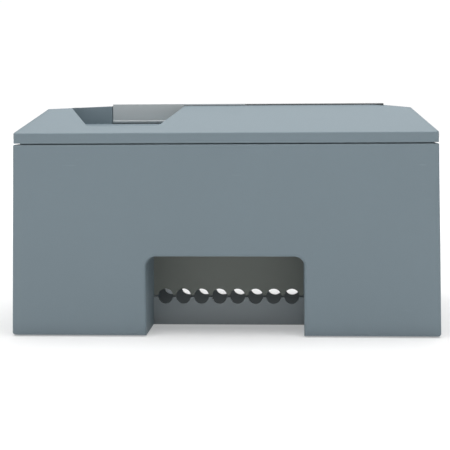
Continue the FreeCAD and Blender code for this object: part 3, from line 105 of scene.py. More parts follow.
class Graph:
    """A material's node tree, filled through one node method."""

    def __init__(self, name: str) -> None:
        self.material = bpy.data.materials.new(name)
        self.material.use_nodes = True
        self.tree = self.material.node_tree
        self.tree.nodes.clear()
        self.place = self.out("ShaderNodeTexCoord", {}, {}, "Object")

    def node(self, kind: str, settings: dict, inputs: dict) -> bpy.types.Node:
        """Adds a node.

        Args:
            kind: the node's type name.
            settings: attributes, set first.
            inputs: values or wires by socket name or index.

        Returns:
            The node.
        """
        made = self.tree.nodes.new(kind)
        for key, value in settings.items():
            setattr(made, key, value)
        for key, value in inputs.items():
            if isinstance(value, Wire):
                self.tree.links.new(value.socket, made.inputs[key])
            else:
                made.inputs[key].default_value = value
        return made

    def out(self, kind: str, settings: dict, inputs: dict, output: Union[str, int] = 0) -> Wire:
        """Adds a node and returns one of its outputs."""
        return Wire(self, self.node(kind, settings, inputs).outputs[output])

    def maths(self, operation: str, first: Value, second: Value = 0.0) -> Wire:
        """A Math node."""
        return self.out("ShaderNodeMath", {"operation": operation}, {0: first, 1: second})

    def range_map(self, value: Wire, low: float, high: float) -> Wire:
        """Value from low to high as 0 to 1, clamped."""
        ends = {"Value": value, "From Min": low, "From Max": high}
        return self.out("ShaderNodeMapRange", {"interpolation_type": "SMOOTHSTEP"}, ends)

    def stretched(self, scale: Sequence[float], turn: Sequence[float] = (0, 0, 0)) -> Wire:
        """Object coordinates with their own scale along each axis."""
        inputs = {"Vector": self.place, "Scale": scale, "Rotation": turn}
        return self.out("ShaderNodeMapping", {}, inputs)

    def noise(self, scale: float, detail: float = 3.0, where: Optional[Wire] = None) -> Wire:
        """Fractal noise of 0 to 1."""
        inputs = {"Vector": where or self.place, "Scale": scale, "Detail": detail}
        return self.out("ShaderNodeTexNoise", {}, inputs)

    def cells(self, scale: float, feature: str = "F1", where: Optional[Wire] = None) -> Wire:
        """Distance in a field of cells."""
        inputs = {"Vector": where or self.place, "Scale": scale}
        return self.out("ShaderNodeTexVoronoi", {"feature": feature}, inputs)

    def axis(self, name: str) -> Wire:
        """One of the object coordinates, X, Y or Z."""
        return self.out("ShaderNodeSeparateXYZ", {}, {0: self.place}, name)

    def blend(self, factor: Value, first: Value, second: Value) -> Wire:
        """Mixes two colours."""
        def full(colour: Value) -> Value:
            return colour if isinstance(colour, Wire) else (*colour, 1.0)

        inputs = {"Factor": factor, 6: full(first), 7: full(second)}
        return self.out("ShaderNodeMix", {"data_type": "RGBA"}, inputs, 2)

    def bump(self, height: Wire, distance: float, strength: float = 1.0,
             under: Optional[Wire] = None) -> Wire:
        """A bump, on top of another one if given."""
        inputs = {"Height": height, "Distance": distance, "Strength": strength}
        if under is not None:
            inputs["Normal"] = under
        return self.out("ShaderNodeBump", {}, inputs)

    def close(self, **inputs: Value) -> bpy.types.Material:
        """Feeds the Principled shader, ends the tree and returns the material."""
        named = {key.replace("_", " "): value for key, value in inputs.items()}
        for key, value in named.items():
            if key == "Base Color" and not isinstance(value, Wire):
                named[key] = (*value, 1.0)
        shader = self.out("ShaderNodeBsdfPrincipled", {}, named)
        self.node("ShaderNodeOutputMaterial", {}, {"Surface": shader})
        return self.material


# ---------------------------------------------------------------- finishes

@dataclass(frozen=True)
class Finish:
    """A surface finish: its name, colour and mean roughness."""

    name: str
    colour: Colour
    roughness: float = 0.5

    def shade(self, scale: float) -> Colour:
        """The colour, lighter or darker."""
        return tuple(channel * scale for channel in self.colour)

    def make(self) -> bpy.types.Material:
        """Builds the material."""
        raise NotImplementedError


# Painted shade: a darker, greener tone for the shaded upper wall of the cable bay.
RECESS_SHADE_TONE = (0.165, 0.178, 0.160)


@dataclass(frozen=True)
class Moulding(Finish):
    """Injection-moulded plastic: a spark-eroded grain, faint flow marks, light wear, painted shade near the floor
    and, where asked, painted shade on the cable bay's upper wall.
    """

    grain: float = 0.00006
    scuffs: float = 1.0
    tunnel: bool = False

    def make(self) -> bpy.types.Material:
        """Grain is fine noise, flow marks are broad noise, scuffs are thin stretched noise; painted shade darkens
        the lowest 12 mm and the cable bay's upper wall.
        """
        graph = Graph(self.name)
        flow = graph.noise(9.0, 4.0)
        grain = graph.noise(1900.0, 2.0)
        pits = graph.cells(1300.0)
        lines = graph.noise(1.0, 3.0, graph.stretched((35.0, 700.0, 520.0), (0.3, 0.2, 0.6)))
        cross = graph.noise(1.0, 3.0, graph.stretched((620.0, 60.0, 800.0), (0.5, 0.9, 0.2)))
        patch = graph.noise(26.0, 3.0).above(0.52, 0.72)
        scratch = (lines.above(0.68, 0.74) + cross.above(0.70, 0.76)) * patch * self.scuffs
        dust = graph.noise(70.0, 6.0).above(0.55, 0.8)
        # Painted shade: the colour darkens towards the floor over the lowest 12 mm, standing in for the contact
        # shadow.
        low = 1 - graph.axis("Z").above(0.0, 0.012)
        tone = graph.blend(flow, self.shade(0.955), self.shade(1.045))
        tone = graph.blend(grain * 0.5, tone, self.shade(0.90))
        tone = graph.blend(scratch * 0.30, tone, self.shade(1.5))
        tone = graph.blend(low * 0.35, tone, self.shade(0.62))
        # Painted shade: the cable bay's upper wall is blended to the darker recess tone.
        if self.tunnel:
            tone = graph.blend(self.in_tunnel(graph), tone, RECESS_SHADE_TONE)
        rough = self.roughness + (flow - 0.5) * 0.10 + dust * 0.05 - scratch * 0.08
        height = grain * 0.7 + pits * 0.5 - scratch * 0.4
        normal = graph.bump(height, self.grain, 0.85)
        return graph.close(Base_Color=tone, Roughness=rough, Normal=normal, Specular_IOR_Level=0.42)

    def in_tunnel(self, graph: Graph) -> Wire:
        """1 inside the cable bay's upper wall, where the painted recess shade goes."""
        across = graph.maths("ABSOLUTE", graph.axis("X"))
        side = 1 - across.above(0.0545, 0.0553)
        low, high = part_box("rear_comb_strip")
        deep = graph.axis("Y").above(low.y - 0.001, low.y - 0.0004)
        return side * deep * (1 - graph.axis("Z").above(0.0563, 0.0568))


@dataclass(frozen=True)
class Sheet(Finish):
    """Cold-rolled sheet with zinc spangle or a brushed grain along one axis."""

    brushed: Sequence[float] = (18.0, 1500.0, 1500.0)
    spangle: float = 0.0

    def make(self) -> bpy.types.Material:
        """Brushing is noise stretched along an axis, spangle is flat cells of another tone."""
        graph = Graph(self.name)
        strokes = graph.noise(1.0, 3.0, graph.stretched(self.brushed))
        cloud = graph.noise(28.0, 4.0)
        smear = graph.noise(120.0, 5.0).above(0.5, 0.75)
        tone = graph.blend(strokes, self.shade(0.86), self.shade(1.08))
        if self.spangle:
            plate = graph.cells(self.spangle)
            tone = graph.blend(plate * 0.35, tone, self.shade(0.72))
        tone = graph.blend(smear * 0.12, tone, self.shade(0.6))
        rough = self.roughness + (strokes - 0.5) * 0.22 + cloud * 0.10 + smear * 0.06
        normal = graph.bump(strokes + cloud * 0.3, 0.00004, 0.6)
        return graph.close(Base_Color=tone, Metallic=1.0, Roughness=rough, Normal=normal)


@dataclass(frozen=True)
class Polished(Finish):
    """Plated metal with fine wiping marks and a few finger smears."""

    def make(self) -> bpy.types.Material:
        """Wiping marks are stretched noise, smears are soft patches."""
        graph = Graph(self.name)
        wipe = graph.noise(1.0, 2.0, graph.stretched((900.0, 140.0, 900.0), (0.4, 0.1, 0.8)))
        smear = graph.noise(180.0, 4.0).above(0.5, 0.8)
        tone = graph.blend(smear * 0.25, self.colour, self.shade(0.80))
        rough = self.roughness + wipe * 0.07 + smear * 0.12
        normal = graph.bump(wipe, 0.00001, 0.4)
        return graph.close(Base_Color=tone, Metallic=1.0, Roughness=rough, Normal=normal)


@dataclass(frozen=True)
class Powder(Finish):
    """Powder coat: an orange-peel skin with patchy rubbed wear."""

    def make(self) -> bpy.types.Material:
        """Orange peel is rounded cells of about a millimetre, wear is patchy fine noise."""
        graph = Graph(self.name)
        peel = graph.cells(700.0, "SMOOTH_F1")
        wear = graph.noise(90.0, 6.0).above(0.62, 0.8)
        tone = graph.blend(graph.noise(12.0, 3.0), self.shade(0.93), self.shade(1.07))
        tone = graph.blend(wear * 0.22, tone, self.shade(1.7))
        rough = self.roughness + peel * 0.12 - wear * 0.08
        normal = graph.bump(peel, 0.00012, 0.8)
        return graph.close(Base_Color=tone, Roughness=rough, Normal=normal, Coat_Weight=0.15)


@dataclass(frozen=True)
class Rubber(Finish):
    """Ground or moulded rubber with chalky bloom."""

    rings: bool = False

    def make(self) -> bpy.types.Material:
        """Bloom is soft noise, ground rings run round the roller."""
        graph = Graph(self.name)
        bloom = graph.noise(160.0, 6.0).above(0.45, 0.8)
        grit = graph.noise(2600.0, 2.0)
        tone = graph.blend(bloom * 0.35, self.colour, self.shade(2.2))
        height = grit
        if self.rings:
            height = grit + graph.noise(1.0, 2.0, graph.stretched((2600.0, 40.0, 40.0)))
        rough = self.roughness + bloom * 0.08
        return graph.close(Base_Color=tone, Roughness=rough, Normal=graph.bump(height, 0.00005))


@dataclass(frozen=True)
class Gloss(Finish):
    """Hard glossy plastic or a smoked window with dust and hairline marks."""

    def make(self) -> bpy.types.Material:
        """Hairlines are thin stretched noise, dust is sparse specks."""
        graph = Graph(self.name)
        hair = graph.noise(1.0, 2.0, graph.stretched((1400.0, 30.0, 800.0), (0.0, 0.0, 0.5)))
        marks = hair.above(0.66, 0.72)
        specks = 1 - graph.cells(420.0).above(0.04, 0.10)
        film = graph.noise(34.0, 4.0)
        tone = graph.blend(specks * 0.35, self.colour, (0.4, 0.4, 0.38))
        tone = graph.blend(film * 0.15, tone, self.shade(1.5))
        rough = self.roughness + marks * 0.18 + film * 0.08 + specks * 0.4
        normal = graph.bump(marks, 0.000008, 0.5)
        return graph.close(Base_Color=tone, Roughness=rough, Normal=normal, Coat_Weight=0.4)


@dataclass(frozen=True)
class Paper(Finish):
    """Uncoated roll paper: fibres, and the wound layers at the ends of the roll."""

    centre: tuple[float, float] = (0.0, 0.0)

    def make(self) -> bpy.types.Material:
        """Layers are a sine of the distance from the roll's axis, strongest across the end faces."""
        graph = Graph(self.name)
        fibre = graph.noise(1500.0, 4.0)
        from_y = graph.axis("Y") - self.centre[0]
        from_z = graph.axis("Z") - self.centre[1]
        radius = graph.maths("SQRT", from_y * from_y + from_z * from_z)
        layer = graph.maths("SINE", radius * (2 * math.pi / 0.00035)) * 0.5 + 0.5
        wobble = graph.noise(40.0, 3.0)
        tone = graph.blend(layer * 0.22, self.colour, self.shade(0.74))
        tone = graph.blend(wobble * 0.12, tone, self.shade(0.86))
        rough = self.roughness + fibre * 0.1
        height = fibre * 0.4 + layer
        return graph.close(Base_Color=tone, Roughness=rough, Normal=graph.bump(height, 0.00003))


@dataclass(frozen=True)
class Board(Finish):
    """A printed circuit board: solder mask, copper tracks under it and tinned pads."""

    def make(self) -> bpy.types.Material:
        """Tracks are the edges of square cells, pads are small discs on a grid."""
        graph = Graph(self.name)
        inputs = {"Vector": graph.stretched((1, 1, 1)), "Scale": 260.0, "Mortar Size": 0.07,
                  "Brick Width": 0.9, "Row Height": 0.35}
        track = graph.out("ShaderNodeTexBrick", {"offset": 0.37, "squash": 0.6}, inputs, "Fac")
        region = graph.cells(46.0).above(0.35, 0.5)
        pads = graph.node("ShaderNodeTexVoronoi", {"distance": "EUCLIDEAN"},
                          {"Vector": graph.place, "Scale": 390.0, "Randomness": 0.0})
        pad = 1 - Wire(graph, pads.outputs[0]).above(0.16, 0.2)
        placed = pad * graph.cells(60.0).above(0.42, 0.46)
        tone = graph.blend(track * region, self.colour, self.shade(2.1))
        tone = graph.blend(placed, tone, (0.62, 0.58, 0.48))
        rough = self.roughness - placed * 0.12 + graph.noise(300.0, 3.0) * 0.08
        normal = graph.bump(track * region + placed, 0.00005)
        return graph.close(Base_Color=tone, Roughness=rough, Metallic=placed * 0.9, Normal=normal)


@dataclass(frozen=True)
class Lamp(Finish):
    """A lit display element."""

    def make(self) -> bpy.types.Material:
        """Even light with a little mottling."""
        graph = Graph(self.name)
        tone = graph.blend(graph.noise(600.0, 2.0), self.shade(0.8), self.colour)
        return graph.close(Base_Color=self.colour, Roughness=self.roughness,
                           Emission_Color=tone, Emission_Strength=0.9)


SHELL = tint(122, 137, 145)
FINISHES: dict[str, Finish] = {
    "housing_grey": Moulding("housing_grain", SHELL, 0.56, tunnel=True),
    "cover_grey": Moulding("cover_grain", SHELL, 0.54),
    "door_grey": Moulding("door_grain", tint(184, 190, 192), 0.50, scuffs=0.7),
    "comb_grey": Moulding("comb_grain", tint(143, 150, 153), 0.60, scuffs=0.4),
    "window_black": Gloss("smoked_window", tint(84, 88, 90), 0.16),
    "display_grey": Moulding("display_case", tint(60, 66, 64), 0.5, scuffs=0.2),
    "key_grey": Moulding("key_grey_grain", tint(196, 199, 198), 0.48, scuffs=0.3),
    "key_green": Moulding("key_green_grain", tint(66, 128, 84), 0.46, scuffs=0.3),
    "key_red": Moulding("key_red_grain", tint(168, 62, 52), 0.46, scuffs=0.3),
    "rocker_black": Gloss("rocker_black", tint(36, 37, 39), 0.32),
    "zinc_steel": Sheet("zinc_sheet", tint(188, 191, 192), 0.42, (300.0, 300.0, 300.0), 160.0),
    "stainless": Sheet("stainless_brushed", tint(196, 196, 193), 0.28, (14.0, 1900.0, 1900.0)),
    "vault_paint": Powder("vault_powder_coat", tint(92, 100, 105), 0.45),
    "lock_chrome": Polished("lock_chrome", tint(214, 216, 218), 0.10),
    "screw_steel": Polished("screw_plating", tint(182, 184, 184), 0.26),
    "foot_rubber": Rubber("foot_rubber", tint(34, 34, 35), 0.78),
    "roller_rubber": Rubber("roller_rubber", tint(42, 43, 44), 0.62, rings=True),
    "paper_white": Paper("roll_paper", tint(238, 236, 228), 0.72),
    "gear_white": Moulding("acetal_gear", tint(226, 223, 212), 0.42, scuffs=0.2),
    "board_green": Board("circuit_board", tint(28, 92, 56), 0.36),
    "black_plastic": Moulding("black_moulding", tint(40, 41, 43), 0.52, scuffs=0.3),
    "motor_metal": Sheet("motor_can", tint(176, 178, 180), 0.34, (1600.0, 20.0, 20.0)),
    "display_glow": Lamp("display_glow", tint(120, 210, 150), 0.4),
}


OWN_FINISH = {"paper_door": "door_grey"}


class Paint:
    """Makes each finish once and hands it out by its slot."""

    def __init__(self) -> None:
        self.made: dict[str, bpy.types.Material] = {}

    def get(self, slot: str) -> bpy.types.Material:
        """The material of a slot."""
        if slot not in self.made:
            finish = FINISHES[slot]
            if isinstance(finish, Paper):
                low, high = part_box("paper_roll")
                centre = ((low.y + high.y) / 2, (low.z + high.z) / 2)
                finish = Paper(finish.name, finish.colour, finish.roughness, centre)
            self.made[slot] = finish.make()
        return self.made[slot]

    def dress_nodes(self) -> None:
        """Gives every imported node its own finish, or else the finish of its slot."""
        for entry in frame["record"]["subparts"]:
            thing = frame["nodes"][entry["node"]]
            thing.data.materials.clear()
            finish = OWN_FINISH.get(entry["node"], entry["material_slot"])
            thing.data.materials.append(self.get(finish))


PAINT = Paint()


# ---------------------------------------------------------------- surfaces

class Ends(Enum):
    """How the first and last rows of a grid end."""

    OPEN = "open"
    FANS = "fans"
    LOOP = "loop"


def grid_faces(rows: int, columns: int, ends: Ends, offset: int = 0) -> list[list[int]]:
    """Faces of a grid of rows of points, each row closed on itself.

    Args:
        rows: number of rows.
        columns: points in a row.
        ends: OPEN leaves the ends, FANS closes them with one face each, LOOP joins last to first.
        offset: index of the grid's first point.

    Returns:
        Lists of vertex indices.
    """
    strips = rows - (ends is not Ends.LOOP)
    row, column = np.meshgrid(np.arange(strips), np.arange(columns), indexing="ij")
    ahead = (column + 1) % columns
    above = (row + 1) % rows
    quads = np.stack([row * columns + column, row * columns + ahead,
                      above * columns + ahead, above * columns + column], axis=-1)
    faces = (quads.reshape(-1, 4) + offset).tolist()
    if ends is Ends.FANS:
        faces.append([offset + index for index in reversed(range(columns))])
        faces.append([offset + (rows - 1) * columns + index for index in range(columns)])
    return faces


@dataclass
class Surface:
    """Collects grids of points into one mesh piece."""

    name: str
    points: list[Array] = field(default_factory=list)
    faces: list[list[int]] = field(default_factory=list)
    count: int = 0

    def add(self, grid: Array, ends: Ends = Ends.FANS) -> "Surface":
        """Adds a grid of rows x columns x 3 points."""
        rows, columns = grid.shape[:2]
        self.faces += grid_faces(rows, columns, ends, self.count)
        self.points.append(grid.reshape(-1, 3))
        self.count += rows * columns
        return self

    def piece(self, body: str, slot: str, smooth: bool = True) -> bpy.types.Object:
        """Makes the object, dresses it and lets it ride on a body."""
        mesh = bpy.data.meshes.new(self.name)
        mesh.from_pydata(np.concatenate(self.points).tolist(), [], self.faces)
        mesh.validate()
        mesh.update()
        thing = bpy.data.objects.new(self.name, mesh)
        bpy.context.scene.collection.objects.link(thing)
        mesh.materials.append(PAINT.get(slot))
        if smooth:
            mesh.shade_smooth()
            mesh.set_sharp_from_angle(angle=math.radians(38))
        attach(thing, body)
        LOG.info("%s: %d faces on %s", self.name, len(mesh.polygons), body)
        return thing


def turned(profile: Sequence[tuple[float, float]], centre: Vector, axis: Vector,
           around: int = 48) -> Array:
    """A turned solid: each profile point is a radius and a height along the axis."""
    radius, height = np.array(profile, float).T
    along = Vector(axis).normalized()
    side = along.orthogonal().normalized()
    other = along.cross(side)
    angle = np.linspace(0, 2 * math.pi, around, endpoint=False)
    ring = np.cos(angle)[:, None] * np.array(side) + np.sin(angle)[:, None] * np.array(other)
    rise = height[:, None, None] * np.array(along)
    return np.array(centre) + radius[:, None, None] * ring[None] + rise


def arc(start: Array, corner: Array, end: Array, count: int) -> Array:
    """Points of a parabola, (1-t)^2 start + 2t(1-t) corner + t^2 end, for t from 0 to 1."""
    t = np.linspace(0, 1, count)[:, None]
    return (1 - t) ** 2 * start + 2 * t * (1 - t) * corner + t ** 2 * end


def hoop(major: float, minor: float, centre: Vector, axis: Vector) -> Array:
    """A ring of round section: rows go round the section."""
    section = np.linspace(0, 2 * math.pi, 17)[:-1]
    profile = np.stack([major + minor * np.cos(section), minor * np.sin(section)], axis=1)
    return turned(profile, centre, axis, 64)


def swept(path: Array, radius: float, around: int = 16) -> Array:
    """A round bar along a path of points: the section stays square to the path."""
    step = np.gradient(path, axis=0)
    step /= np.linalg.norm(step, axis=1, keepdims=True)
    reference = np.array([0.0, 1.0, 0.0])
    side = np.cross(step, reference)
    side /= np.linalg.norm(side, axis=1, keepdims=True)
    other = np.cross(step, side)
    angle = np.linspace(0, 2 * math.pi, around, endpoint=False)
    ring = np.cos(angle)[None, :, None] * side[:, None] + np.sin(angle)[None, :, None] * other[:, None]
    return path[:, None] + radius * ring


def pillow(centre: Vector, frame_axes: Sequence[Vector], profile: Sequence[tuple[float, float, float]],
           around: int = 64, squareness: float = 8.0) -> Array:
    """Rows of rounded rectangles: each profile row gives two half widths and a height.

    The outline is a superellipse, |x/a|^n + |y/b|^n = 1, so corners are round and sides full.
    """
    angle = np.linspace(0, 2 * math.pi, around, endpoint=False)
    power = 2.0 / squareness
    across = np.sign(np.cos(angle)) * np.abs(np.cos(angle)) ** power
    along = np.sign(np.sin(angle)) * np.abs(np.sin(angle)) ** power
    half_u, half_v, height = np.array(profile, float).T
    u, v, n = (np.array(axis) for axis in frame_axes)
    return (np.array(centre) + (half_u[:, None] * across)[..., None] * u
            + (half_v[:, None] * along)[..., None] * v + height[:, None, None] * n)


def islands(node: str) -> list[tuple[Vector, Vector]]:
    """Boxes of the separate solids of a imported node."""
    mesh = frame["nodes"][node].data
    points = np.zeros(len(mesh.vertices) * 3)
    mesh.vertices.foreach_get("co", points)
    points = points.reshape(-1, 3)
    _, merged = np.unique(np.round(points, 6), axis=0, return_inverse=True)
    merged = merged.reshape(-1)
    corners = np.zeros(len(mesh.loops), int)
    mesh.loops.foreach_get("vertex_index", corners)
    triangles = merged[corners].reshape(-1, 3)
    label = np.arange(merged.max() + 1)
    while True:
        lowest = label[triangles].min(axis=1)
        fresh = label.copy()
        for corner in range(3):
            np.minimum.at(fresh, triangles[:, corner], lowest)
        fresh = fresh[fresh]
        if np.array_equal(fresh, label):
            break
        label = fresh
    found = []
    for value in np.unique(label):
        chosen = points[label[merged] == value]
        found.append((Vector(chosen.min(0)), Vector(chosen.max(0))))
    return found


# ---------------------------------------------------------------- sub-assemblies

@dataclass
class FareKeys:
    """Six dished keys in the driver's slope, with plain numbers."""

    count: int = 6
    edge: float = 1.1 * MM
    dish: float = 0.55 * MM
    foot: float = 1.6 * MM
    skirt: float = 1.2 * MM
    figure: float = 6.0 * MM
    proud: float = 0.22 * MM

    def build(self) -> None:
        """Makes every key and its number."""
        slots = {e["node"]: e["material_slot"] for e in frame["record"]["subparts"]}
        for index in range(1, self.count + 1):
            node = f"fare_key_{index}"
            self.key(index, node, slots[node])

    def key(self, index: int, node: str, slot: str) -> None:
        """One key: foot, stem, rounded shoulder and dished top in one closed surface."""
        press = next(j for j in frame["joints"] if j["name"] == node + "_press")
        normal = -Vector(press["axis"]).normalized()
        across = Vector((1, 0, 0))
        slope = normal.cross(across)
        axes = (across, slope, normal)
        co = np.array([v.co for v in frame["nodes"][node].data.vertices])
        spans = [(float((co @ np.array(a)).min()), float((co @ np.array(a)).max())) for a in axes]
        centre = sum((a * (s[0] + s[1]) / 2 for a, s in zip(axes[:2], spans[:2])), Vector())
        low, high = spans[2]
        foot_u = (spans[0][1] - spans[0][0]) / 2
        foot_v = (spans[1][1] - spans[1][0]) / 2
        top_u, top_v = foot_u - self.skirt, foot_v - self.skirt
        rows = [(0.01 * MM, 0.01 * MM, low), (foot_u, foot_v, low), (foot_u, foot_v, low + self.foot),
                (top_u, top_v, low + self.foot), (top_u, top_v, high - self.edge)]
        for turn in np.linspace(0.15, 1.0, 6) * math.pi / 2:
            inset = self.edge * (1 - math.cos(turn))
            rows.append((top_u - inset, top_v - inset, high - self.edge * (1 - math.sin(turn))))
        for share in np.linspace(0.92, 0.02, 9):
            fall = self.dish * (1 - share ** 2)
            rows.append(((top_u - self.edge) * share, (top_v - self.edge) * share, high - fall))
        surface = Surface(f"key_cap_{index}").add(pillow(centre, axes, rows))
        cap = surface.piece(f"fare_key_{index}", slot)
        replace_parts(cap, node)
        self.number(index, centre + normal * (high - self.dish), axes)

    def number(self, index: int, at: Vector, axes: Sequence[Vector]) -> None:
        """A plain raised number on the key, reading from the driver's side."""
        curve = bpy.data.curves.new(f"digit_{index}", "FONT")
        curve.body = str(index)
        curve.size = self.figure
        curve.extrude = self.proud
        curve.align_x = "CENTER"
        curve.align_y = "CENTER"
        text = bpy.data.objects.new("draft", curve)
        mesh = bpy.data.meshes.new_from_object(text)
        bpy.data.objects.remove(text)
        across, slope, normal = axes
        turn = Matrix((-across, -slope, normal)).transposed().to_4x4()
        mesh.transform(Matrix.Translation(at) @ turn)
        mesh.materials.clear()
        mesh.materials.append(PAINT.get("black_plastic"))
        digit = bpy.data.objects.new(f"key_number_{index}", mesh)
        bpy.context.scene.collection.objects.link(digit)
        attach(digit, f"fare_key_{index}")


@dataclass
class Fasteners:
    """Pan-head screws with a cross recess, and the rubber feet."""

    recess: float = 0.7 * MM
    flat_rise: float = 0.9 * MM
    thread_root: float = 1.1 * MM
    thread_height: float = 0.25 * MM

    def head(self, low: Vector, high: Vector, down: bool) -> Array:
        """A head as a height over radius and angle: a dome with a cross sunk into it."""
        radius = (high.x - low.x) / 2
        rise = self.flat_rise if down else high.z - low.z
        share = np.linspace(1.0, 0.04, 16)[:, None]
        angle = np.linspace(0, 2 * math.pi, 64, endpoint=False)[None, :]
        x, y = share * np.cos(angle), share * np.sin(angle)
        arm = np.minimum(np.abs(x), np.abs(y))
        cross = np.clip((0.16 - arm) / 0.05, 0, 1) * np.clip((0.62 - share) / 0.06, 0, 1)
        dome = rise * np.sqrt(np.clip(1 - 0.55 * share ** 2, 0, 1)) - self.recess * cross
        dome[0] = 0.0
        middle = (low + high) / 2
        if down:
            base, sign = low.z + rise, -1.0
        else:
            base, sign = low.z, 1.0
        flat = np.stack([middle.x + radius * x, middle.y + radius * y, base + sign * dome], axis=-1)
        return flat if sign > 0 else flat[:, ::-1]

    def build(self) -> None:
        """Replaces the screw groups and the feet."""
        surface = Surface("floor_screws")
        for low, high in islands("base_screws"):
            surface.add(self.head(low, high, True))
            middle = (low + high) / 2
            start = Vector((middle.x, middle.y, low.z + self.flat_rise))
            turns = np.linspace(0, high.z - start.z, 40)
            thread = [(self.thread_root + self.thread_height * (k % 2), h) for k, h in enumerate(turns)]
            surface.add(turned(thread, start, Vector((0, 0, 1)), 20))
        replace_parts(surface.piece("housing", "screw_steel"), "base_screws")
        surface = Surface("comb_screw_heads")
        for low, high in islands("comb_screws"):
            surface.add(self.head(low, high, False))
        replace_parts(surface.piece("housing", "screw_steel"), "comb_screws")
        surface = Surface("ribbed_feet")
        for low, high in islands("rubber_feet"):
            middle = Vector(((low.x + high.x) / 2, (low.y + high.y) / 2, 0))
            wide = (high.x - low.x) / 2
            rows = [(0.05 * MM, high.z), (wide - 0.5 * MM, high.z), (wide, high.z - 0.5 * MM),
                    (wide, 0.5 * MM), (wide - 0.4 * MM, 0.0)]
            for share in np.linspace(wide - 1.2 * MM, 4.4 * MM, 16):
                rows.append((share, 0.18 * MM * (1 - math.cos(share / MM * 4.2))))
            rows += [(4.0 * MM, 0.0), (3.6 * MM, 0.5 * MM), (3.4 * MM, 1.4 * MM),
                     (0.05 * MM, 1.4 * MM)]
            surface.add(turned(rows, middle, Vector((0, 0, 1)), 56)[:, ::-1])
        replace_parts(surface.piece("housing", "foot_rubber"), "rubber_feet")


@dataclass
class Locks:
    """Bezels of the two cam locks."""

    ring: float = 0.75 * MM
    sink: float = 0.2 * MM

    def build(self) -> None:
        """A rolled ring round each lock face."""
        low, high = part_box("cover_lock_body")
        centre = Vector((high.x - self.sink, (low.y + high.y) / 2, (low.z + high.z) / 2))
        grid = hoop((high.z - low.z) / 2, self.ring, centre, Vector((1, 0, 0)))
        Surface("cover_lock_ring").add(grid, Ends.LOOP).piece("housing", "lock_chrome")
        low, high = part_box("vault_lock_body")
        centre = Vector(((low.x + high.x) / 2, high.y - self.sink, (low.z + high.z) / 2))
        grid = hoop((high.z - low.z) / 2, self.ring, centre, Vector((0, 1, 0)))
        Surface("vault_lock_ring").add(grid, Ends.LOOP).piece("vault", "lock_chrome")


@dataclass
class BailHandle:
    """The vault's hanging bail: one bent rod with two pivots."""

    rod: float = 1.4 * MM
    bend: float = 4.0 * MM
    leg: float = 22.0 * MM

    def build(self) -> None:
        """The path runs in along the pivots, down the legs and across, with round bends."""
        low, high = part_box("vault_handle")
        y = (low.y + high.y) / 2
        top = high.z - self.rod
        bottom = low.z + self.rod
        middle = (low.x + high.x) / 2
        outer = (high.x - low.x) / 2
        half = [(-outer, top), (-self.leg, top), (-self.leg, bottom)]
        corners = half + [(-u, z) for u, z in reversed(half)]
        path = self.rounded([np.array([middle + u, y, z]) for u, z in corners])
        surface = Surface("vault_bail").add(swept(path, self.rod))
        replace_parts(surface.piece("vault_handle", "stainless"), "vault_handle")

    def rounded(self, corners: list[Array]) -> Array:
        """The corners joined by lines, each inner corner turned by an arc."""
        path = [corners[0]]
        for before, here, after in zip(corners, corners[1:], corners[2:]):
            enter = here + (before - here) / np.linalg.norm(before - here) * self.bend
            leave = here + (after - here) / np.linalg.norm(after - here) * self.bend
            path += list(arc(enter, here, leave, 9))
        path.append(corners[-1])
        return np.array(path)


